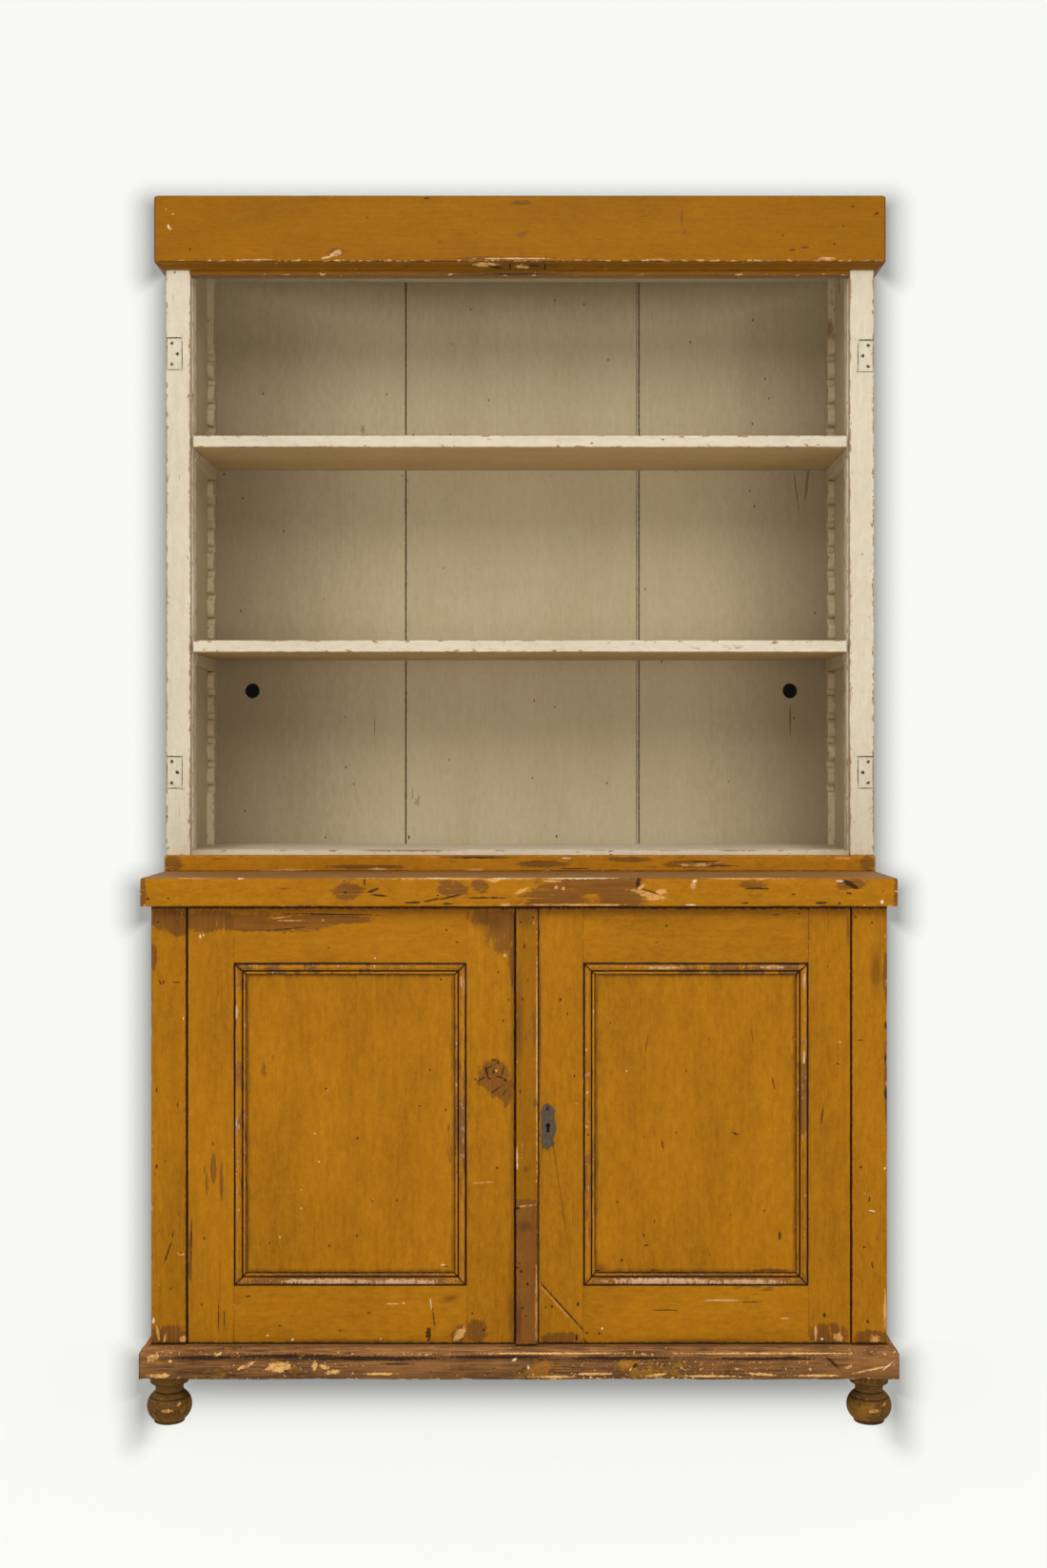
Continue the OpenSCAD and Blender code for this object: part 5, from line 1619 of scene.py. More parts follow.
        # Painted shade in the floor's corners beside the sides.
        painted_shade = spots(DUST_AND_SHADE, (-600, 988, 200, 60), (600, 988, 200, 60), y=100, depth=300)
        dress("upper_floor", paint("upper_floor", CREAM, ACROSS, painted_shade, arris=1.5, rubbed=0.01))
        above = BareBehind(2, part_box("ceiling_board")[1][2] / MM - 1)
        dress("ceiling_board", paint("ceiling_board", AGED_SHADED_CREAM, ACROSS, arris=1.0, bare=above))

    def shelves(self) -> None:
        """Dress the two shelves, chipped along their front arrises, with painted shade on their
        undersides.
        """
        for node in ("lower_shelf", "upper_shelf"):
            under = BareBehind(2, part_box(node)[0][2] / MM + 1.5, -1)
            finish = paint(
                node, CREAM, ACROSS, arris=1.3, chipped=0.13, rubbed=0.004, bare=under,
                inner=SHADED_UNDERSIDE_CREAM,
            )
            dress(node, finish, 0.8)


def seam(x: float, wide: float) -> Mark:
    """Return the grime in an upright seam of the cupboard's front."""
    return Mark(DARK, x, 520, wide, WHOLE)


# Painted shadow at the top of doors and stiles, under the worktop that overhangs them: a dark band
# and a soft shade below it.
WORKTOP_SHADOW = (Mark(DARK, 0, 901.5, 6000, 13), Mark(DUST_AND_SHADE, 0, 900, 6000, 44))
# The grime at their foot, over the plinth's ledge.
OVER_LEDGE = Mark(DARK, 0, 141, 6000, 8)


@dataclass
class Cupboard:
    """The lower cupboard: worktop, base rail, corner stiles, plinth and turned feet.

    In mm, the worktop is rubbed above rubbed_z, a side board is bare inside of side_skin, and the
    front feet turn round a line at foot_y.
    """

    body: str = "carcase"
    rubbed_z: float = 949.4
    side_skin: float = 634
    foot_y: float = -203

    def build(self) -> None:
        """Make and dress every fixed piece of the cupboard."""
        self.worktop()
        self.base_rail()
        self.corner_stiles()
        self.plinth()
        self.feet()
        self.hidden_boards()

    def worktop(self) -> None:
        """Dress the thick worktop: a brown, rubbed top and a knocked front edge."""
        # The long pale and white marks at z 950 run along the top front arris and make it pale
        # along much of its length.
        marks = (
            *spots(
                WORN, (-296, 927, 58, 34), (-116, 932, 58, 34, -8), (-67, 936, 34, 24, -20),
                (60, 914, 120, 56), (122, 942, 180, 34), (176, 922, 92, 90), (116, 928, 60, 16),
                (402, 939, 50, 15), (570, 939, 60, 20), (-650, 925, 18, 60), (650, 925, 12, 56),
            ),
            *spots(SCAR, (2, 925, 70, 34), (222, 924, 96, 42)),
            *spots(
                BARE, (-42, 946, 20, 7), (4, 928, 26, 6, 24), (-21, 904, 16, 5),
                (222, 922, 62, 9, -14), (206, 931, 26, 5, 38), (246, 927, 16, 9), (232, 914, 30, 4),
                (64, 934, 6, 6), (76, 932, 5, 5), (105, 904, 180, 3), (60, 945, 30, 4),
                (300, 936, 9, 12), (-560, 950, 60, 3), (-60, 950.5, 460, 6), (400, 950, 150, 5),
            ),
            *spots(
                DARK, (-299, 925, 5, 5), (-266, 943, 4, 12), (-250, 929, 26, 5, 22),
                (-240, 920, 30, 4, -4), (-183, 908, 34, 4), (-150, 912, 32, 4, 12),
                (-121, 906, 20, 4), (-116, 918, 50, 3, 14), (-57, 916, 76, 3),
                (226, 927, 30, 3, -20), (205, 943, 8, 20, -15), (410, 932, 52, 3.5),
                (390, 907, 14, 3), (473, 922, 7, 3), (570, 939, 34, 9, -30), (568, 924, 12, 4),
                (520, 907, 22, 4), (552, 907, 5, 5), (-639, 915, 6, 6), (-604, 915, 6, 5),
            ),
            *spots(
                CHALK, (110, 950.5, 170, 6), (-140, 950.5, 60, 5), (-30, 950.5, 40, 6),
                (303, 945, 9, 6), (297, 904, 22, 3), (552, 945, 16, 4), (625, 909, 6, 9),
                (-479, 949, 14, 4),
            ),
        )
        finish = paint(
            "worktop", OCHRE, ACROSS, marks, arris=2.0, chipped=0.14, cracked=0.015,
            bare=BareBehind(2, self.rubbed_z), inner=OCHRE_TOP,
        )
        dress("worktop", finish, 0.8)

    def base_rail(self) -> None:
        """Make the base rail of the upper case, split and bare along its lower edge."""
        low, high = corners_of("base_rail")
        z, top, deep = low[2] / MM, high[2] / MM, (high[1] - low[1]) / MM
        corners = (
            Corner(0, z, 0.6, 0.8, 1.0, 0.5), Corner(0, top, 2.0, 1.6, 0.9), Corner(deep, top),
            Corner(deep, z),
        )
        run = Run((low[0], low[1], 0.0), (1, 0, 0), (0, 1, 0), (0, 0, 1), high[0] - low[0])
        skin = run.skin(Section(corners, pitch=8.0), seed_of("base_rail"), every=45)
        marks = (
            *spots(
                WORN, (320, 963, 120, 16), (-635, 964, 36, 34), (636, 964, 30, 34),
                (-80, 976, 160, 6), (-280, 958, 150, 8), (200, 972, 90, 10), (40, 964, 110, 13),
            ),
            *spots(
                BARE, (322, 962, 60, 6), (356, 966, 40, 3), (-430, 952, 90, 4), (-260, 954, 30, 4),
                (-80, 953, 26, 4), (590, 974, 26, 4),
            ),
            *spots(
                DARK, (340, 968, 70, 3), (372, 960, 60, 2.5), (-80, 975, 80, 3), (100, 955, 60, 2),
            ),
            Mark(CHALK, 84, 974, 20, 3),
        )
        finish = paint(
            "base_rail", OCHRE_RAIL, ACROSS, marks, arris=1.6, cracked=0.05, chipped=0.2,
            shaped=True,
        )
        place_piece("base_rail_board", skin, finish, self.body, ("base_rail",))

    def corner_stiles(self) -> None:
        """Make the two corner stiles, whose outer arrises are knocked and whose feet are worn."""
        marks = {
            "corner_stile_left": (
                *spots(
                    WORN, (-604, 876, 96, 40), (-590, 862, 40, 34), (-634, 812, 14, 50),
                    (-606, 154, 76, 44),
                ),
                *spots(
                    BARE, (-586, 297, 12, 4), (-626, 160, 5, 26, 10), (-614, 152, 4, 18, -12),
                    (-582, 150, 14, 10),
                ),
                *spots(
                    DARK, (-626, 873, 4, 4), (-593, 873, 4, 4), (-594, 768, 16, 2.4),
                    (-622, 768, 3, 9, 25), (-616, 768, 3, 9, -25), (-609, 300, 3, 46, -19),
                    (-600, 332, 3, 14, -8), (-586, 299, 5, 3), (-628, 582, 3, 10),
                    (-592, 556, 3, 10, -10), (-629, 449, 4, 9), (-613, 458, 4, 3),
                ),
                *spots(CHALK, (-634, 182, 6, 14), (-582, 706, 3, 7)),
                seam(-576, 5),
            ),
            "corner_stile_right": (
                *spots(WORN, (635, 780, 9, 90), (636, 600, 7, 160), (608, 152, 66, 30)),
                *spots(BARE, (616, 150, 18, 12), (634, 200, 5, 60)),
                *spots(
                    DARK, (583, 881, 4, 4), (612, 871, 4, 4), (636, 694, 6, 14), (636, 636, 6, 12),
                    (636, 574, 6, 20), (590, 668, 12, 2.5), (607, 392, 3, 12),
                    (612, 278, 4, 12, 12), (598, 309, 5, 5), (604, 180, 5, 7), (592, 448, 5, 4),
                ),
                *spots(CHALK, (634, 446, 5, 6), (612, 372, 12, 3, -10)),
                Mark(DUST_AND_SHADE, 618, 790, 30, 110),
                seam(576, 4),
            ),
        }
        for node, board_marks in marks.items():
            right = node.endswith("right")
            skin = upright(node, (1.6, 1.5, 0.9), (0.9, 0.5, 0.5), 60, flipped=right)
            board_marks += (*WORKTOP_SHADOW, OVER_LEDGE)
            finish = paint(node, OCHRE, UP, board_marks, arris=1.3, chipped=0.14, shaped=True)
            place_piece(f"{node}_board", skin, finish, self.body, (node,))

    def plinth(self) -> None:
        """Make the plinth: three mitred boards with a bevelled ledge and a broken lower arris."""
        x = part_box("corner_stile_right")[1][0]
        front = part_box("corner_stile_right")[0][1]
        low, high = corners_of("plinth_front")
        side_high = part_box("plinth_right")[1]
        band = Band(x, front, side_high[1], front - low[1], side_high[0] - x)
        z, top = low[2] / MM, high[2] / MM
        marks = (
            *spots(
                SCAR, (-486, 108, 76, 26), (-400, 106, 90, 30), (-284, 104, 50, 24),
                (50, 94, 200, 16), (380, 98, 360, 18), (300, 108, 620, 34), (-380, 108, 260, 30),
                (200, 92, 500, 12),
            ),
            *spots(
                BARE, (-416, 107, 42, 15, 6), (-352, 110, 9, 13), (-336, 108, 14, 7, -20),
                (-320, 99, 24, 7, 8), (-375, 126, 12, 6, 30), (-470, 110, 30, 6, 24),
                (-240, 96, 50, 4), (-631, 124, 20, 11, 15), (-620, 93, 34, 7), (-601, 118, 6, 5),
                (-520, 128, 14, 4, 30), (60, 91, 70, 4), (330, 92, 90, 3.5), (610, 104, 70, 3, 12),
                (130, 96, 60, 4), (236, 94, 30, 5, 8), (420, 95, 44, 4, -4), (512, 93, 70, 4),
                (568, 108, 12, 5, 20), (60, 131, 220, 2.5), (430, 131, 260, 2.5),
            ),
            *spots(
                DARK, (540, 116, 34, 6, -44), (-210, 113, 60, 3), (200, 110, 12, 6, 30),
                (470, 125, 30, 3), (-540, 124, 130, 8), (-400, 126, 200, 8), (-250, 123, 240, 9),
                (-40, 125, 200, 7), (180, 123, 200, 6), (420, 122, 200, 6),
            ),
            *spots(CHALK, (-8, 120, 12, 6, 30), (16, 108, 5, 9), (636, 110, 30, 3, 40)),
            *spots(DUST_AND_SHADE, (-280, 121, 2400, 14), (-560, 96, 180, 20), (0, 68, WHOLE, 120)),
        )
        for place, (run, out, grain) in band.runs().items():
            in_front = place == "front"
            corners = (
                Corner(0, z), Corner(out, z, 0.8, 3.4 if in_front else 1.6, 0.9),
                Corner(out, top - 9.5, 1.2, 1.2, 1.0), Corner(out - 6.5, top, 0.8, 0.5, 0.6),
                Corner(0, top),
            )
            section = Section(corners, pitch=7.0)
            node = f"plinth_{place}"
            finish = paint(
                node, WORN_OCHRE, grain, marks if in_front else (), rubbed=0.93, arris=2.0,
                chipped=0.2, cracked=0.03, drawn=0.45, shaped=True,
            )
            skin = run.skin(section, seed_of(node), every=26)
            place_piece(f"{node}_board", skin, finish, self.body, (node,))

    def feet(self) -> None:
        """Make the turned front feet: disc, ball with a ring groove, neck, cove and collar."""
        for side in ("left", "right"):
            node = f"foot_front_{side}"
            low, high = corners_of(node)
            middle = ((low[0] + high[0]) / 2, (low[1] + high[1]) / 2, low[2])
            profile = np.concatenate(
                [
                    [[23.5, 0.0], [25.6, 0.2], [26.4, 1.0], [26.4, 3.6], [25.8, 4.6]],
                    arc((11.0, 28.0), 28.0, -54, 31.5, 30),
                    [[34.0, 43.3], [33.2, 44.2], [33.0, 45.2]],
                    arc((11.0, 28.0), 28.0, 39.5, 61, 9),
                    [[24.3, 53.6], [24.2, 56.0], [24.3, 58.5]], arc((33.2, 60.0), 9.0, 180, 92, 10),
                    [[33.2, 69.3], [33.4, 71.0], [33.4, 85.6], [33.0, 86.0]],
                ]
            )
            skin = turned(profile * MM, middle)
            x = middle[0] / MM
            rings = ((x, 44.5, WHOLE, 2.6), (x, 53.5, WHOLE, 2.6), (x, 69.5, WHOLE, 2.2))
            # The pale spots at the ball's front are rubbed paint and painted highlight, and the
            # soft darkening at its foot is floor dirt and painted shade.
            marks = (
                Mark(BARE, x + 22, 38, 7, 4, 30, y=-236), Mark(BARE, x + 2, 29, 16, 6, y=-242),
                *spots(DARK, *rings, y=self.foot_y, depth=60),
                Mark(DUST_AND_SHADE, x, 2, WHOLE, 22, y=self.foot_y, depth=90),
            )
            finish = paint(
                node, FOOT_OCHRE, ACROSS, marks, rubbed=0.8, arris=0.5, chipped=0.06,
                cracked=0.02, drawn=0.35,
            )
            place_piece(f"{node}_turning", skin, finish, self.body, (node,), 50)

    def hidden_boards(self) -> None:
        """Dress the sides, painted outside and bare inside, and the bare boards."""
        for side, facing in (("left", -1), ("right", 1)):
            node = f"lower_side_{side}"
            foot_wear = spots(WORN, (638 * facing, 160, 30, 60), y=0, depth=240)
            inside = BareBehind(0, self.side_skin * facing, -facing)
            finish = paint(node, OCHRE, UP, foot_wear, arris=2.0, rubbed=0.03, bare=inside)
            dress(node, finish, 0.8)
        for node in ("bottom_board", "cupboard_shelf", "top_stretcher", "sill_rail"):
            dress(node, BarePine(node, ACROSS).material(), 0.8)
        for node, ease in (("lower_back_boards", 0.0), ("rear_feet", 0.8)):
            dress(node, BarePine(node, UP).material(), ease)


@dataclass
class Door:
    """One framed door: stiles, rails, sunk panel and mitred moulding."""

    side: str
    marks: dict[str, Marks]
    moulding_wide: float = 21

    def build(self) -> None:
        """Make and dress the pieces of the door."""
        self.frame_boards()
        self.moulding()

    @property
    def body(self) -> str:
        """The CAD body that carries the door."""
        return f"{self.side}_door"

    def frame_boards(self) -> None:
        """Dress the stiles, rails and panel, painted in front and bare on the inside."""
        grains = {
            "hinge_stile": UP, "meeting_stile": UP, "top_rail": ACROSS,
            "bottom_rail": ACROSS, "panel": UP,
        }
        for part, grain in grains.items():
            node = f"{self.side}_{part}"
            low, high = self.visible(part)
            # On the panel, the soft darkening along its edges by the moulding is dirt and painted
            # shade.
            finish = PaintedWood(
                node, low, high, OCHRE, grain, rubbed=0.006, arris=0.8, chipped=0.045,
                cracked=0.006, dirt=10.0 if part == "panel" else 0.0,
                marks=self.marks[part] + self.seams(part), bare=BareBehind(1, high[1] / MM - 1.5),
            )
            dress(node, finish.material())

    def seams(self, part: str) -> Marks:
        """Return the grime along a frame board's free edges, and the painted shadow under the
        worktop and beside the meeting strip.
        """
        if part == "panel":
            return ()
        # On the left meeting stile the soft darkening beside the seam is painted shadow of the
        # strip.
        sides = {
            "left_hinge_stile": (seam(-576, 5),),
            "left_meeting_stile": (seam(-6, 6), Mark(DUST_AND_SHADE, -4, 520, 30, WHOLE)),
            "right_hinge_stile": (seam(576, 4),), "right_meeting_stile": (seam(33.5, 3.5),),
        }
        level = {"top_rail": WORKTOP_SHADOW, "bottom_rail": (OVER_LEDGE,)}
        upright_seams = sides.get(f"{self.side}_{part}", ())
        return upright_seams + level.get(part, (*WORKTOP_SHADOW, OVER_LEDGE))

    def visible(self, part: str) -> tuple[Vec3, Vec3]:
        """Return the corners of the part of a board that shows, without tenons and tongues."""
        low, high = (list(corner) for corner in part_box(f"{self.side}_{part}"))
        if part.endswith("rail"):
            stiles = [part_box(f"{self.side}_{stile}_stile") for stile in ("hinge", "meeting")]
            left, right = sorted(stiles, key=lambda box: box[0][0])
            low[0], high[0] = left[1][0], right[0][0]
            low[1] = left[0][1]
        if part == "panel":
            inner = self.moulding_wide * MM
            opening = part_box(f"{self.side}_moulding")
            for axis in (0, 2):
                low[axis], high[axis] = opening[0][axis] + inner, opening[1][axis] - inner
        return tuple(low), tuple(high)

    def moulding(self) -> None:
        """Make the moulding round the panel: four mitred lengths, knocked on the crest.

        The section has a thin fillet at the frame, a large round that stands just proud of it, a
        quirk, and a small bead that lies on the panel.
        """
        node = f"{self.side}_moulding"
        low, high = corners_of(node)
        wide, tall = high[0] - low[0], high[2] - low[2]
        panel = high[1]
        depth = (high[1] - low[1]) / MM
        corners = (
            Corner(0, 0, 0.3), Corner(0, 8.6, 0.4, 0.0, 0.0, 1.0),
            Corner(1.6, 8.8, 0.3, 0.0, 0.0, 1.0), Corner(2.2, depth - 1.4, 1.0),
            Corner(5.5, depth, 2.2, 1.4, 0.9), Corner(9.6, depth, 2.6, 1.4, 0.9),
            Corner(13.2, depth - 4.2, 1.6), Corner(14.0, 2.6, 0.35, 0.0, 0.0, 1.2),
            Corner(15.3, 2.2, 0.3, 0.0, 0.0, 1.2), Corner(15.8, 4.6, 0.9),
            Corner(18.6, 5.4, 1.4, 0.6, 0.8), Corner(20.6, 3.2, 0.9, 0.0, 0.0, 0.5),
            Corner(self.moulding_wide, 0, 0.25, 0.0, 0.0, 1.3),
        )
        section = Section(corners, pitch=5.0, reach=2.6, dirt_reach=2.3)
        places = {
            "bottom": ((low[0], panel, low[2]), (1, 0, 0), (0, 0, 1), wide),
            "top": ((low[0], panel, high[2]), (1, 0, 0), (0, 0, -1), wide),
            "left": ((low[0], panel, low[2]), (0, 0, 1), (1, 0, 0), tall),
            "right": ((high[0], panel, low[2]), (0, 0, 1), (-1, 0, 0), tall),
        }
        skins = [
            Run(origin, along, across, (0, -1, 0), length, 1.0, -1.0, step=4.0, joint=1.7).skin(
                section, seed_of(f"{node}_{place}"), every=34
            )
            for place, (origin, along, across, length) in places.items()
        ]
        finish = PaintedWood(
            node, tuple(low), tuple(high), OCHRE_MOULDING, UP, rubbed=0.2, arris=1.6,
            chipped=0.14, cracked=0.03, shaped=True, marks=self.marks["moulding"],
        ).material()
        name = f"{node}_lengths"
        place_piece(name, joined(skins), finish, self.body, (node,))


@dataclass
class MeetingStrip:
    """The strip planted on the right door, with its lower length replaced."""

    body: str = "right_door"

    def build(self) -> None:
        """Make both lengths of the strip."""
        lengths = {
            "meeting_strip": (
                OCHRE_STRIP,
                (
                    *spots(WORN, (28, 560, 8, 16), (12, 446, 10, 12), (13, 390, 44, 10)),
                    # The long pale line at x 31 is a painted highlight along the strip's right
                    # arris, drawn as pale wood.
                    *spots(BARE, (31, 640, 3, 380), (-4, 468, 4, 30)),
                    *spots(
                        DARK, (3, 873, 4, 4), (24, 881, 4, 4), (9, 832, 3, 10), (6, 740, 3, 6),
                        (2, 580, 3, 8),
                    ),
                    Mark(CHALK, -3, 452, 3, 16),
                    *spots(DUST_AND_SHADE, (12, 880, 50, 50), (0, 700, 24, 260)),
                ),
            ),
            "strip_patch": (
                BROWN_STRIP,
                (
                    # The pale line at x 30 is a painted highlight along the right arris, drawn as
                    # pale wood.
                    *spots(BARE, (14, 383, 34, 3, 6), (30, 200, 4, 160)),
                    *spots(
                        DARK, (-2, 379, 9, 6), (4, 270, 5, 6, 30), (-3, 276, 6, 3),
                        (-1, 285, 10, 2, -40), (14.5, 248, 4, 6), (6, 206, 5, 4), (12, 193, 4, 4),
                    ),
                    *spots(DUST_AND_SHADE, (0, 180, 18, 120), (10, 348, 40, 30)),
                ),
            ),
        }
        for node, (coat, marks) in lengths.items():
            skin = upright(node, (0.9, 0.7, 0.6), (2.4, 1.0, 1.0), 50, 0.3, 6.0)
            finish = paint(
                node, coat, UP, (*marks, *WORKTOP_SHADOW, seam(-6, 3), OVER_LEDGE), arris=1.1,
                chipped=0.14, rubbed=0.02, cracked=0.02, shaped=True,
            )
            place_piece(f"{node}_length", skin, finish, self.body, (node,))


@dataclass
class Ironwork:
    """Escutcheon, lock, bolts and pivots, with the rim of the keyhole and nail heads.

    Places are in mm: the keyhole's, the fronts of the escutcheon and of the corner stiles, and the
    nails' x and z.
    """

    lock_x: float = 50.0
    lock_z: float = 520.5
    plate_y: float = -232.0
    front_y: float = -230.0
    nails_at: tuple[Pair, ...] = ((-626, 873), (-593, 873), (583, 881), (612, 871))

    def build(self) -> None:
        """Dress the ironwork and make its small pieces."""
        iron = WroughtIron("lock and bolts").material()
        for node in ("lock_case", "left_bolt_plate", "lock_bolt", "left_bolt"):
            dress(node, iron, 0.5)
        for node in ("left_pivots", "right_pivots"):
            dress(node, iron, 0.0)
        right_through = 100000
        # Painted shade: the keyhole and screw holes are painted black on the plate, as the lamps
        # don't reach into them.
        hollows = spots(
            DARK, (49, 549, 6.8, 6.8), (50, 520.5, 8.6, 8.6), (50, 514, 5.2, 5.2),
            (50, 510.5, 5.2, 5.2), y=0, depth=right_through,
        )
        plate_iron = WroughtIron("escutcheon", "#54432F", "#2E2318", "#4C3420", 0.6, hollows)
        plate = plate_iron.material()
        dress("escutcheon", plate, 0.5)
        place_piece("keyhole_rim", self.keyhole_rim(), plate, "right_door")
        heads = WroughtIron("nails", "#3B2C1F", "#20150C", "#4A2E1B", 0.7).material()
        place_piece("nail_heads", self.nail_heads(), heads, "carcase", sharp=60)

    def keyhole_rim(self) -> Surface:
        """Make the raised rim round the keyhole.

        A round bead of radius 0.8 mm runs along a line 1.3 mm outside the keyhole: an arc round
        its head, two straight sides down to its foot, and a small arc there.
        """
        head = arc((0.0, 0.0), 4.3, -55, 235, 26)
        foot = arc((0.0, -10.6), 2.6, 190, 350, 10)
        line = np.concatenate([head, foot])
        ahead = np.roll(line, -1, 0) - np.roll(line, 1, 0)
        ahead /= np.linalg.norm(ahead, axis=1)[:, None]
        side = np.stack([ahead[:, 1], -ahead[:, 0]], 1)
        angle = np.linspace(0, 2 * np.pi, 10, endpoint=False)
        radius = 0.8
        plane = line[:, None] + side[:, None] * (radius * np.cos(angle))[None, :, None]
        y = self.plate_y + np.broadcast_to(-radius * np.sin(angle) * 0.9, plane.shape[:2])
        points = np.stack([self.lock_x + plane[..., 0], y, self.lock_z + plane[..., 1]], -1) * MM
        rings = len(line)
        quads = grid_quads(rings, len(angle))
        v = np.arange(len(angle))
        w = (v + 1) % len(angle)
        last = (rings - 1) * len(angle)
        closing = np.stack([last + v, last + w, w, v], 1)
        return Surface(points.reshape(-1, 3), np.concatenate([quads, closing])).outward()

    def nail_heads(self) -> Surface:
        """Make the nail heads at the tops of the corner stiles: low domes, 4 mm across."""
        dome = np.array([[2.0, 0.0], [1.9, 0.25], [1.4, 0.45], [0.6, 0.55], [0.1, 0.57]]) * MM
        skins = []
        for x, z in self.nails_at:
            skin = turned(dome, (0, 0, 0), 14)
            across, up, out = skin.points.T
            y = self.front_y * MM - out + 0.4 * MM
            points = np.stack([across + x * MM, y, up + z * MM], 1)
            skins.append(Surface(points, skin.quads, skin.caps).outward())
        return joined(skins)


# In the marks of both doors, the soft darkening along the panels' upper and lower edges is dirt and
# painted shade.
LEFT_DOOR_MARKS = {
    "hinge_stile": (
        *spots(
            WORN, (-530, 874, 130, 42), (-530, 446, 12, 56), (-516, 424, 7, 70), (-541, 418, 5, 44),
            (-570, 290, 6, 90),
        ),
        *spots(
            DARK, (-521, 190, 2.2, 50), (-511, 184, 2.2, 36), (-531, 488, 3, 8), (-568, 330, 3, 60),
        ),
        *spots(CHALK, (-553, 847, 4, 9), (-547, 850, 3, 6)),
    ),
    "top_rail": (
        *spots(WORN, (-430, 871, 220, 36), (-340, 877, 190, 20)),
        *spots(BARE, (-410, 881, 30, 2.4, 8), (-396, 875, 40, 2.0), (-340, 876, 5, 3)),
        *spots(
            DARK, (-320, 886, 180, 2.4, -1), (-400, 861, 70, 1.8, 5), (-126, 858, 5, 4),
            (-330, 828, 3, 3),
        ),
        Mark(CHALK, -250, 810, 4, 3),
    ),
    "meeting_stile": (
        *spots(
            WORN, (-42, 880, 110, 30), (-32, 850, 52, 70), (-10, 800, 16, 90), (-42, 612, 56, 46),
            (-56, 600, 40, 24, 20), (-34, 588, 56, 46, -30), (-20, 572, 14, 40, -10),
            (-75, 164, 44, 50, 14),
        ),
        *spots(BARE, (-24, 815, 5, 5), (-40, 615, 5, 4), (-62, 421, 34, 2, 4)),
        *spots(
            DARK, (-56, 612, 5, 20, 12), (-52, 602, 10, 4, -40), (-50, 622, 12, 3, 40),
            (-44, 613, 5, 7), (-34, 604, 16, 3, -20), (-24, 599, 6, 6), (-28, 614, 3, 16, -14),
            (-66, 600, 22, 3, 28), (-76, 600, 5, 5), (-40, 582, 26, 2.6, 34),
            (-26, 576, 16, 2.4, 60), (-44, 634, 10, 3), (-36, 630, 3, 9), (-18, 738, 4, 4),
            (-38, 447, 4, 4), (-61, 166, 6, 5),
        ),
        *spots(DUST_AND_SHADE, (-50, 872, 90, 50), (-10, 200, 30, 140)),
    ),
    "bottom_rail": (
        Mark(WORN, -104, 158, 26, 44, -35),
        *spots(BARE, (-104, 158, 14, 30, -35), (-220, 211, 26, 3)),
        *spots(
            DARK, (-157, 158, 9, 30), (-148, 186, 2.5, 40, 6), (-470, 224, 8, 2.5),
            (-415, 173, 7, 3), (-260, 195, 10, 2.5),
        ),
        *spots(
            CHALK, (-153, 212, 2.5, 24, 6), (-200, 212, 6, 4), (-436, 156, 5, 4), (-393, 149, 6, 4),
            (-240, 150, 4, 4),
        ),
        *spots(DUST_AND_SHADE, (-300, 146, 420, 12), (-120, 220, 50, 20, 14)),
    ),
    "panel": (
        *spots(BARE, (-379, 406, 3, 3), (-379, 374, 5, 4)),
        *spots(
            DARK, (-335, 582, 5, 4), (-281, 496, 6, 4), (-173, 552, 7, 2.5), (-136, 772, 5, 4),
            (-255, 388, 5, 4), (-330, 309, 5, 4), (-128, 273, 8, 2),
        ),
        *spots(
            CHALK, (-333, 580, 3, 2), (-355, 504, 4, 3), (-348, 455, 4, 4), (-254, 389, 3, 2),
            (-416, 324, 3, 4), (-132, 276, 12, 4),
        ),
        *spots(DUST_AND_SHADE, (-293, 262, 420, 16), (-293, 788, 420, 12)),
    ),
    "moulding": (
        Mark(WORN, -293, 252, 420, 34),
        *spots(
            BARE, (-330, 250, 150, 8), (-200, 248, 120, 10), (-490, 520, 5, 30), (-490, 716, 5, 20),
            (-94, 760, 5, 30),
        ),
    ),
}

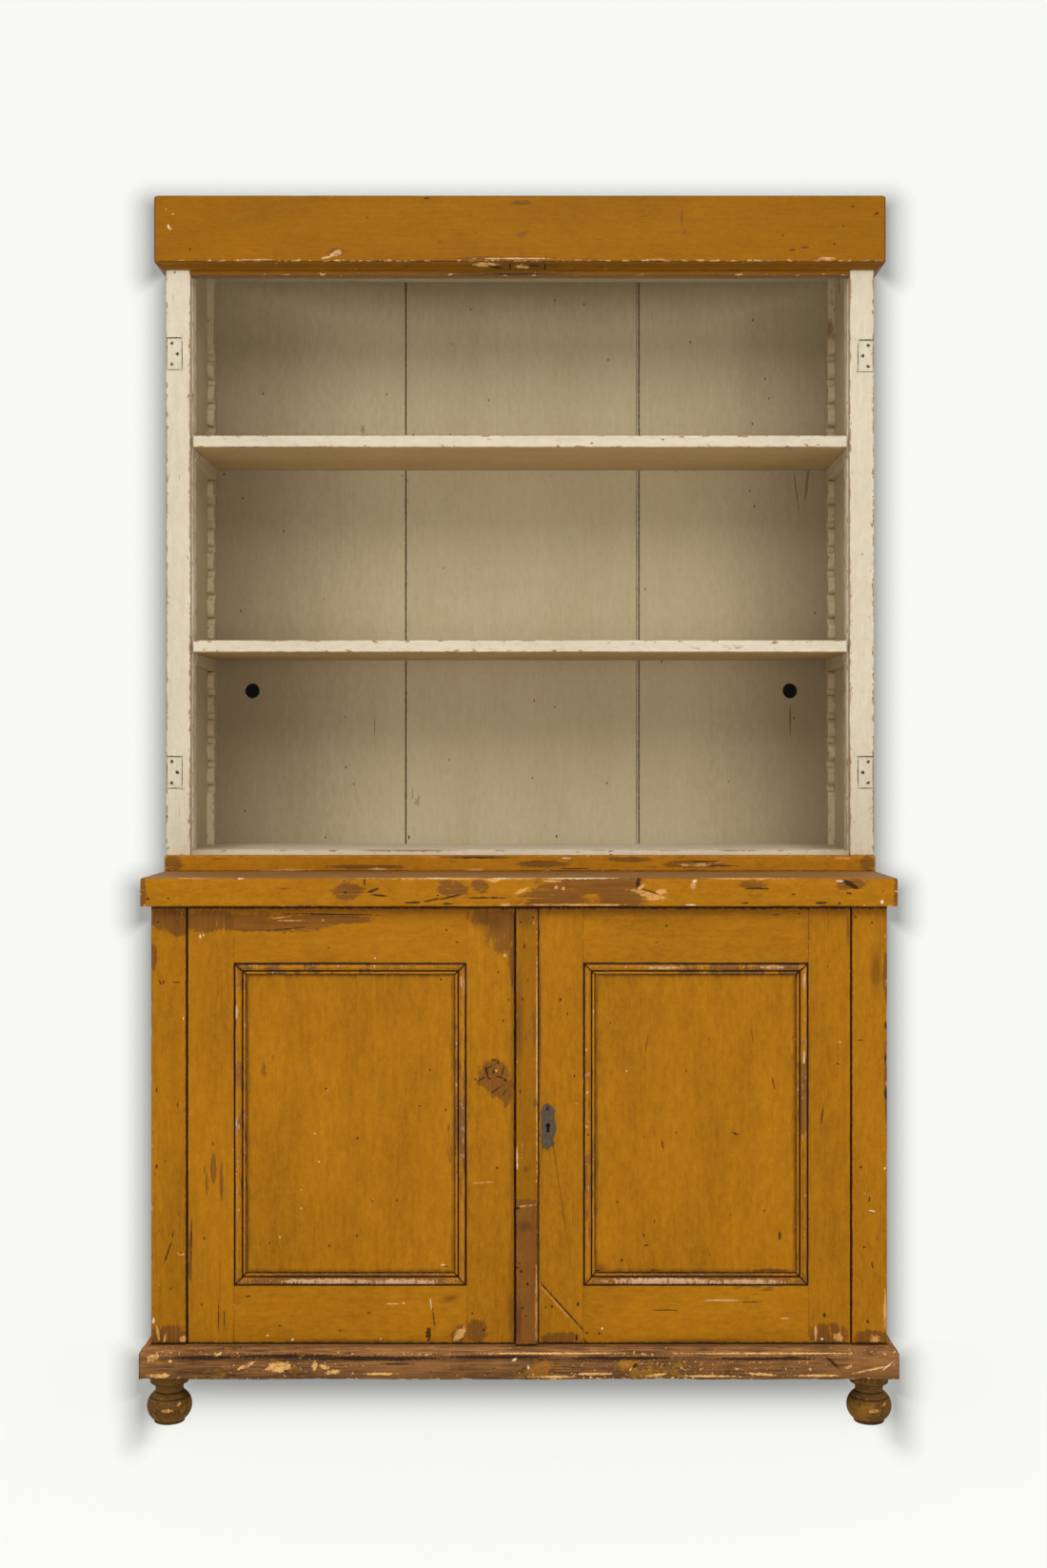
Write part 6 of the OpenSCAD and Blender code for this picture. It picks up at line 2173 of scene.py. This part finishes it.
RIGHT_DOOR_MARKS = {
    "hinge_stile": (
        Mark(WORN, 536, 158, 70, 46), *spots(BARE, (514, 162, 5, 26), (553, 153, 14, 14)),
        *spots(DARK, (525, 536, 3, 36, -8), (529, 191, 7, 10), (553, 627, 5, 3, -20)),
        *spots(CHALK, (525, 150, 6, 5), (556, 665, 6, 2)), Mark(DUST_AND_SHADE, 570, 860, 10, 90),
    ),
    "top_rail": (Mark(DARK, 445, 885, 16, 2), Mark(DUST_AND_SHADE, 306, 894, 380, 14)),
    "meeting_stile": (
        Mark(WORN, 76, 150, 84, 26),
        *spots(BARE, (62, 214, 74, 1.6, -47.7), (100, 558, 8, 3)),
        *spots(
            DARK, (80, 200, 143, 3.2, -47.7), (102, 210, 6, 7), (47, 205, 3, 5), (57, 206, 4, 5),
            (100, 152, 4, 14), (72, 738, 4, 6), (84, 714, 3, 8),
        ),
        # Painted shade: the stile behind the escutcheon is dark where it shows through the keyhole
        # and the screw hole.
        *spots(DARK, (50, 512, 26, 42), (49, 549, 12, 12), y=-218, depth=40),
        Mark(DUST_AND_SHADE, 36, 700, 8, 380),
    ),
    "bottom_rail": (
        Mark(BARE, 466, 186, 24, 3),
        *spots(
            DARK, (400, 214, 40, 2), (256, 200, 56, 2.4), (139, 160, 4, 5),
            (112, 150, 40, 2.4, -47.8),
        ),
        *spots(CHALK, (350, 217, 90, 1.8), (144, 168, 4, 5)),
        Mark(DUST_AND_SHADE, 306, 146, 380, 14),
    ),
    "panel": (
        *spots(
            WORN, (406, 669, 2.5, 46, 8), (222, 661, 2.5, 34, -8), (236, 266, 20, 8),
            (436, 266, 70, 8),
        ),
        Mark(BARE, 378, 501, 14, 2, -24),
        *spots(
            DARK, (375, 504, 18, 3.4, -24), (442, 592, 2.5, 28, 12), (249, 486, 3, 18, 12),
            (453, 326, 4, 18), (134, 266, 16, 3), (222, 310, 10, 3), (178, 284, 4, 4),
            (426, 370, 4, 4),
        ),
        Mark(CHALK, 187, 613, 3, 4),
        *spots(DUST_AND_SHADE, (139, 268, 50, 36), (306, 262, 400, 20), (306, 788, 400, 12)),
    ),
    "moulding": (
        *spots(WORN, (306, 252, 400, 34), (492, 560, 20, 140)),
        *spots(
            BARE, (250, 250, 170, 10), (400, 249, 120, 8), (494, 770, 6, 30), (494, 640, 5, 24),
            (250, 793, 60, 5), (440, 794, 40, 6),
        ),
    ),
}


def main() -> None:
    """Build the stage and the cabinet, piece by piece."""
    logging.basicConfig(level=logging.INFO, format="%(message)s")
    bpy.context.scene.view_settings.view_transform = "Standard"
    Stage().build()
    UpperCase().build()
    Cupboard().build()
    Door("left", LEFT_DOOR_MARKS).build()
    Door("right", RIGHT_DOOR_MARKS).build()
    MeetingStrip().build()
    Ironwork().build()


if __name__ == "__main__":
    main()
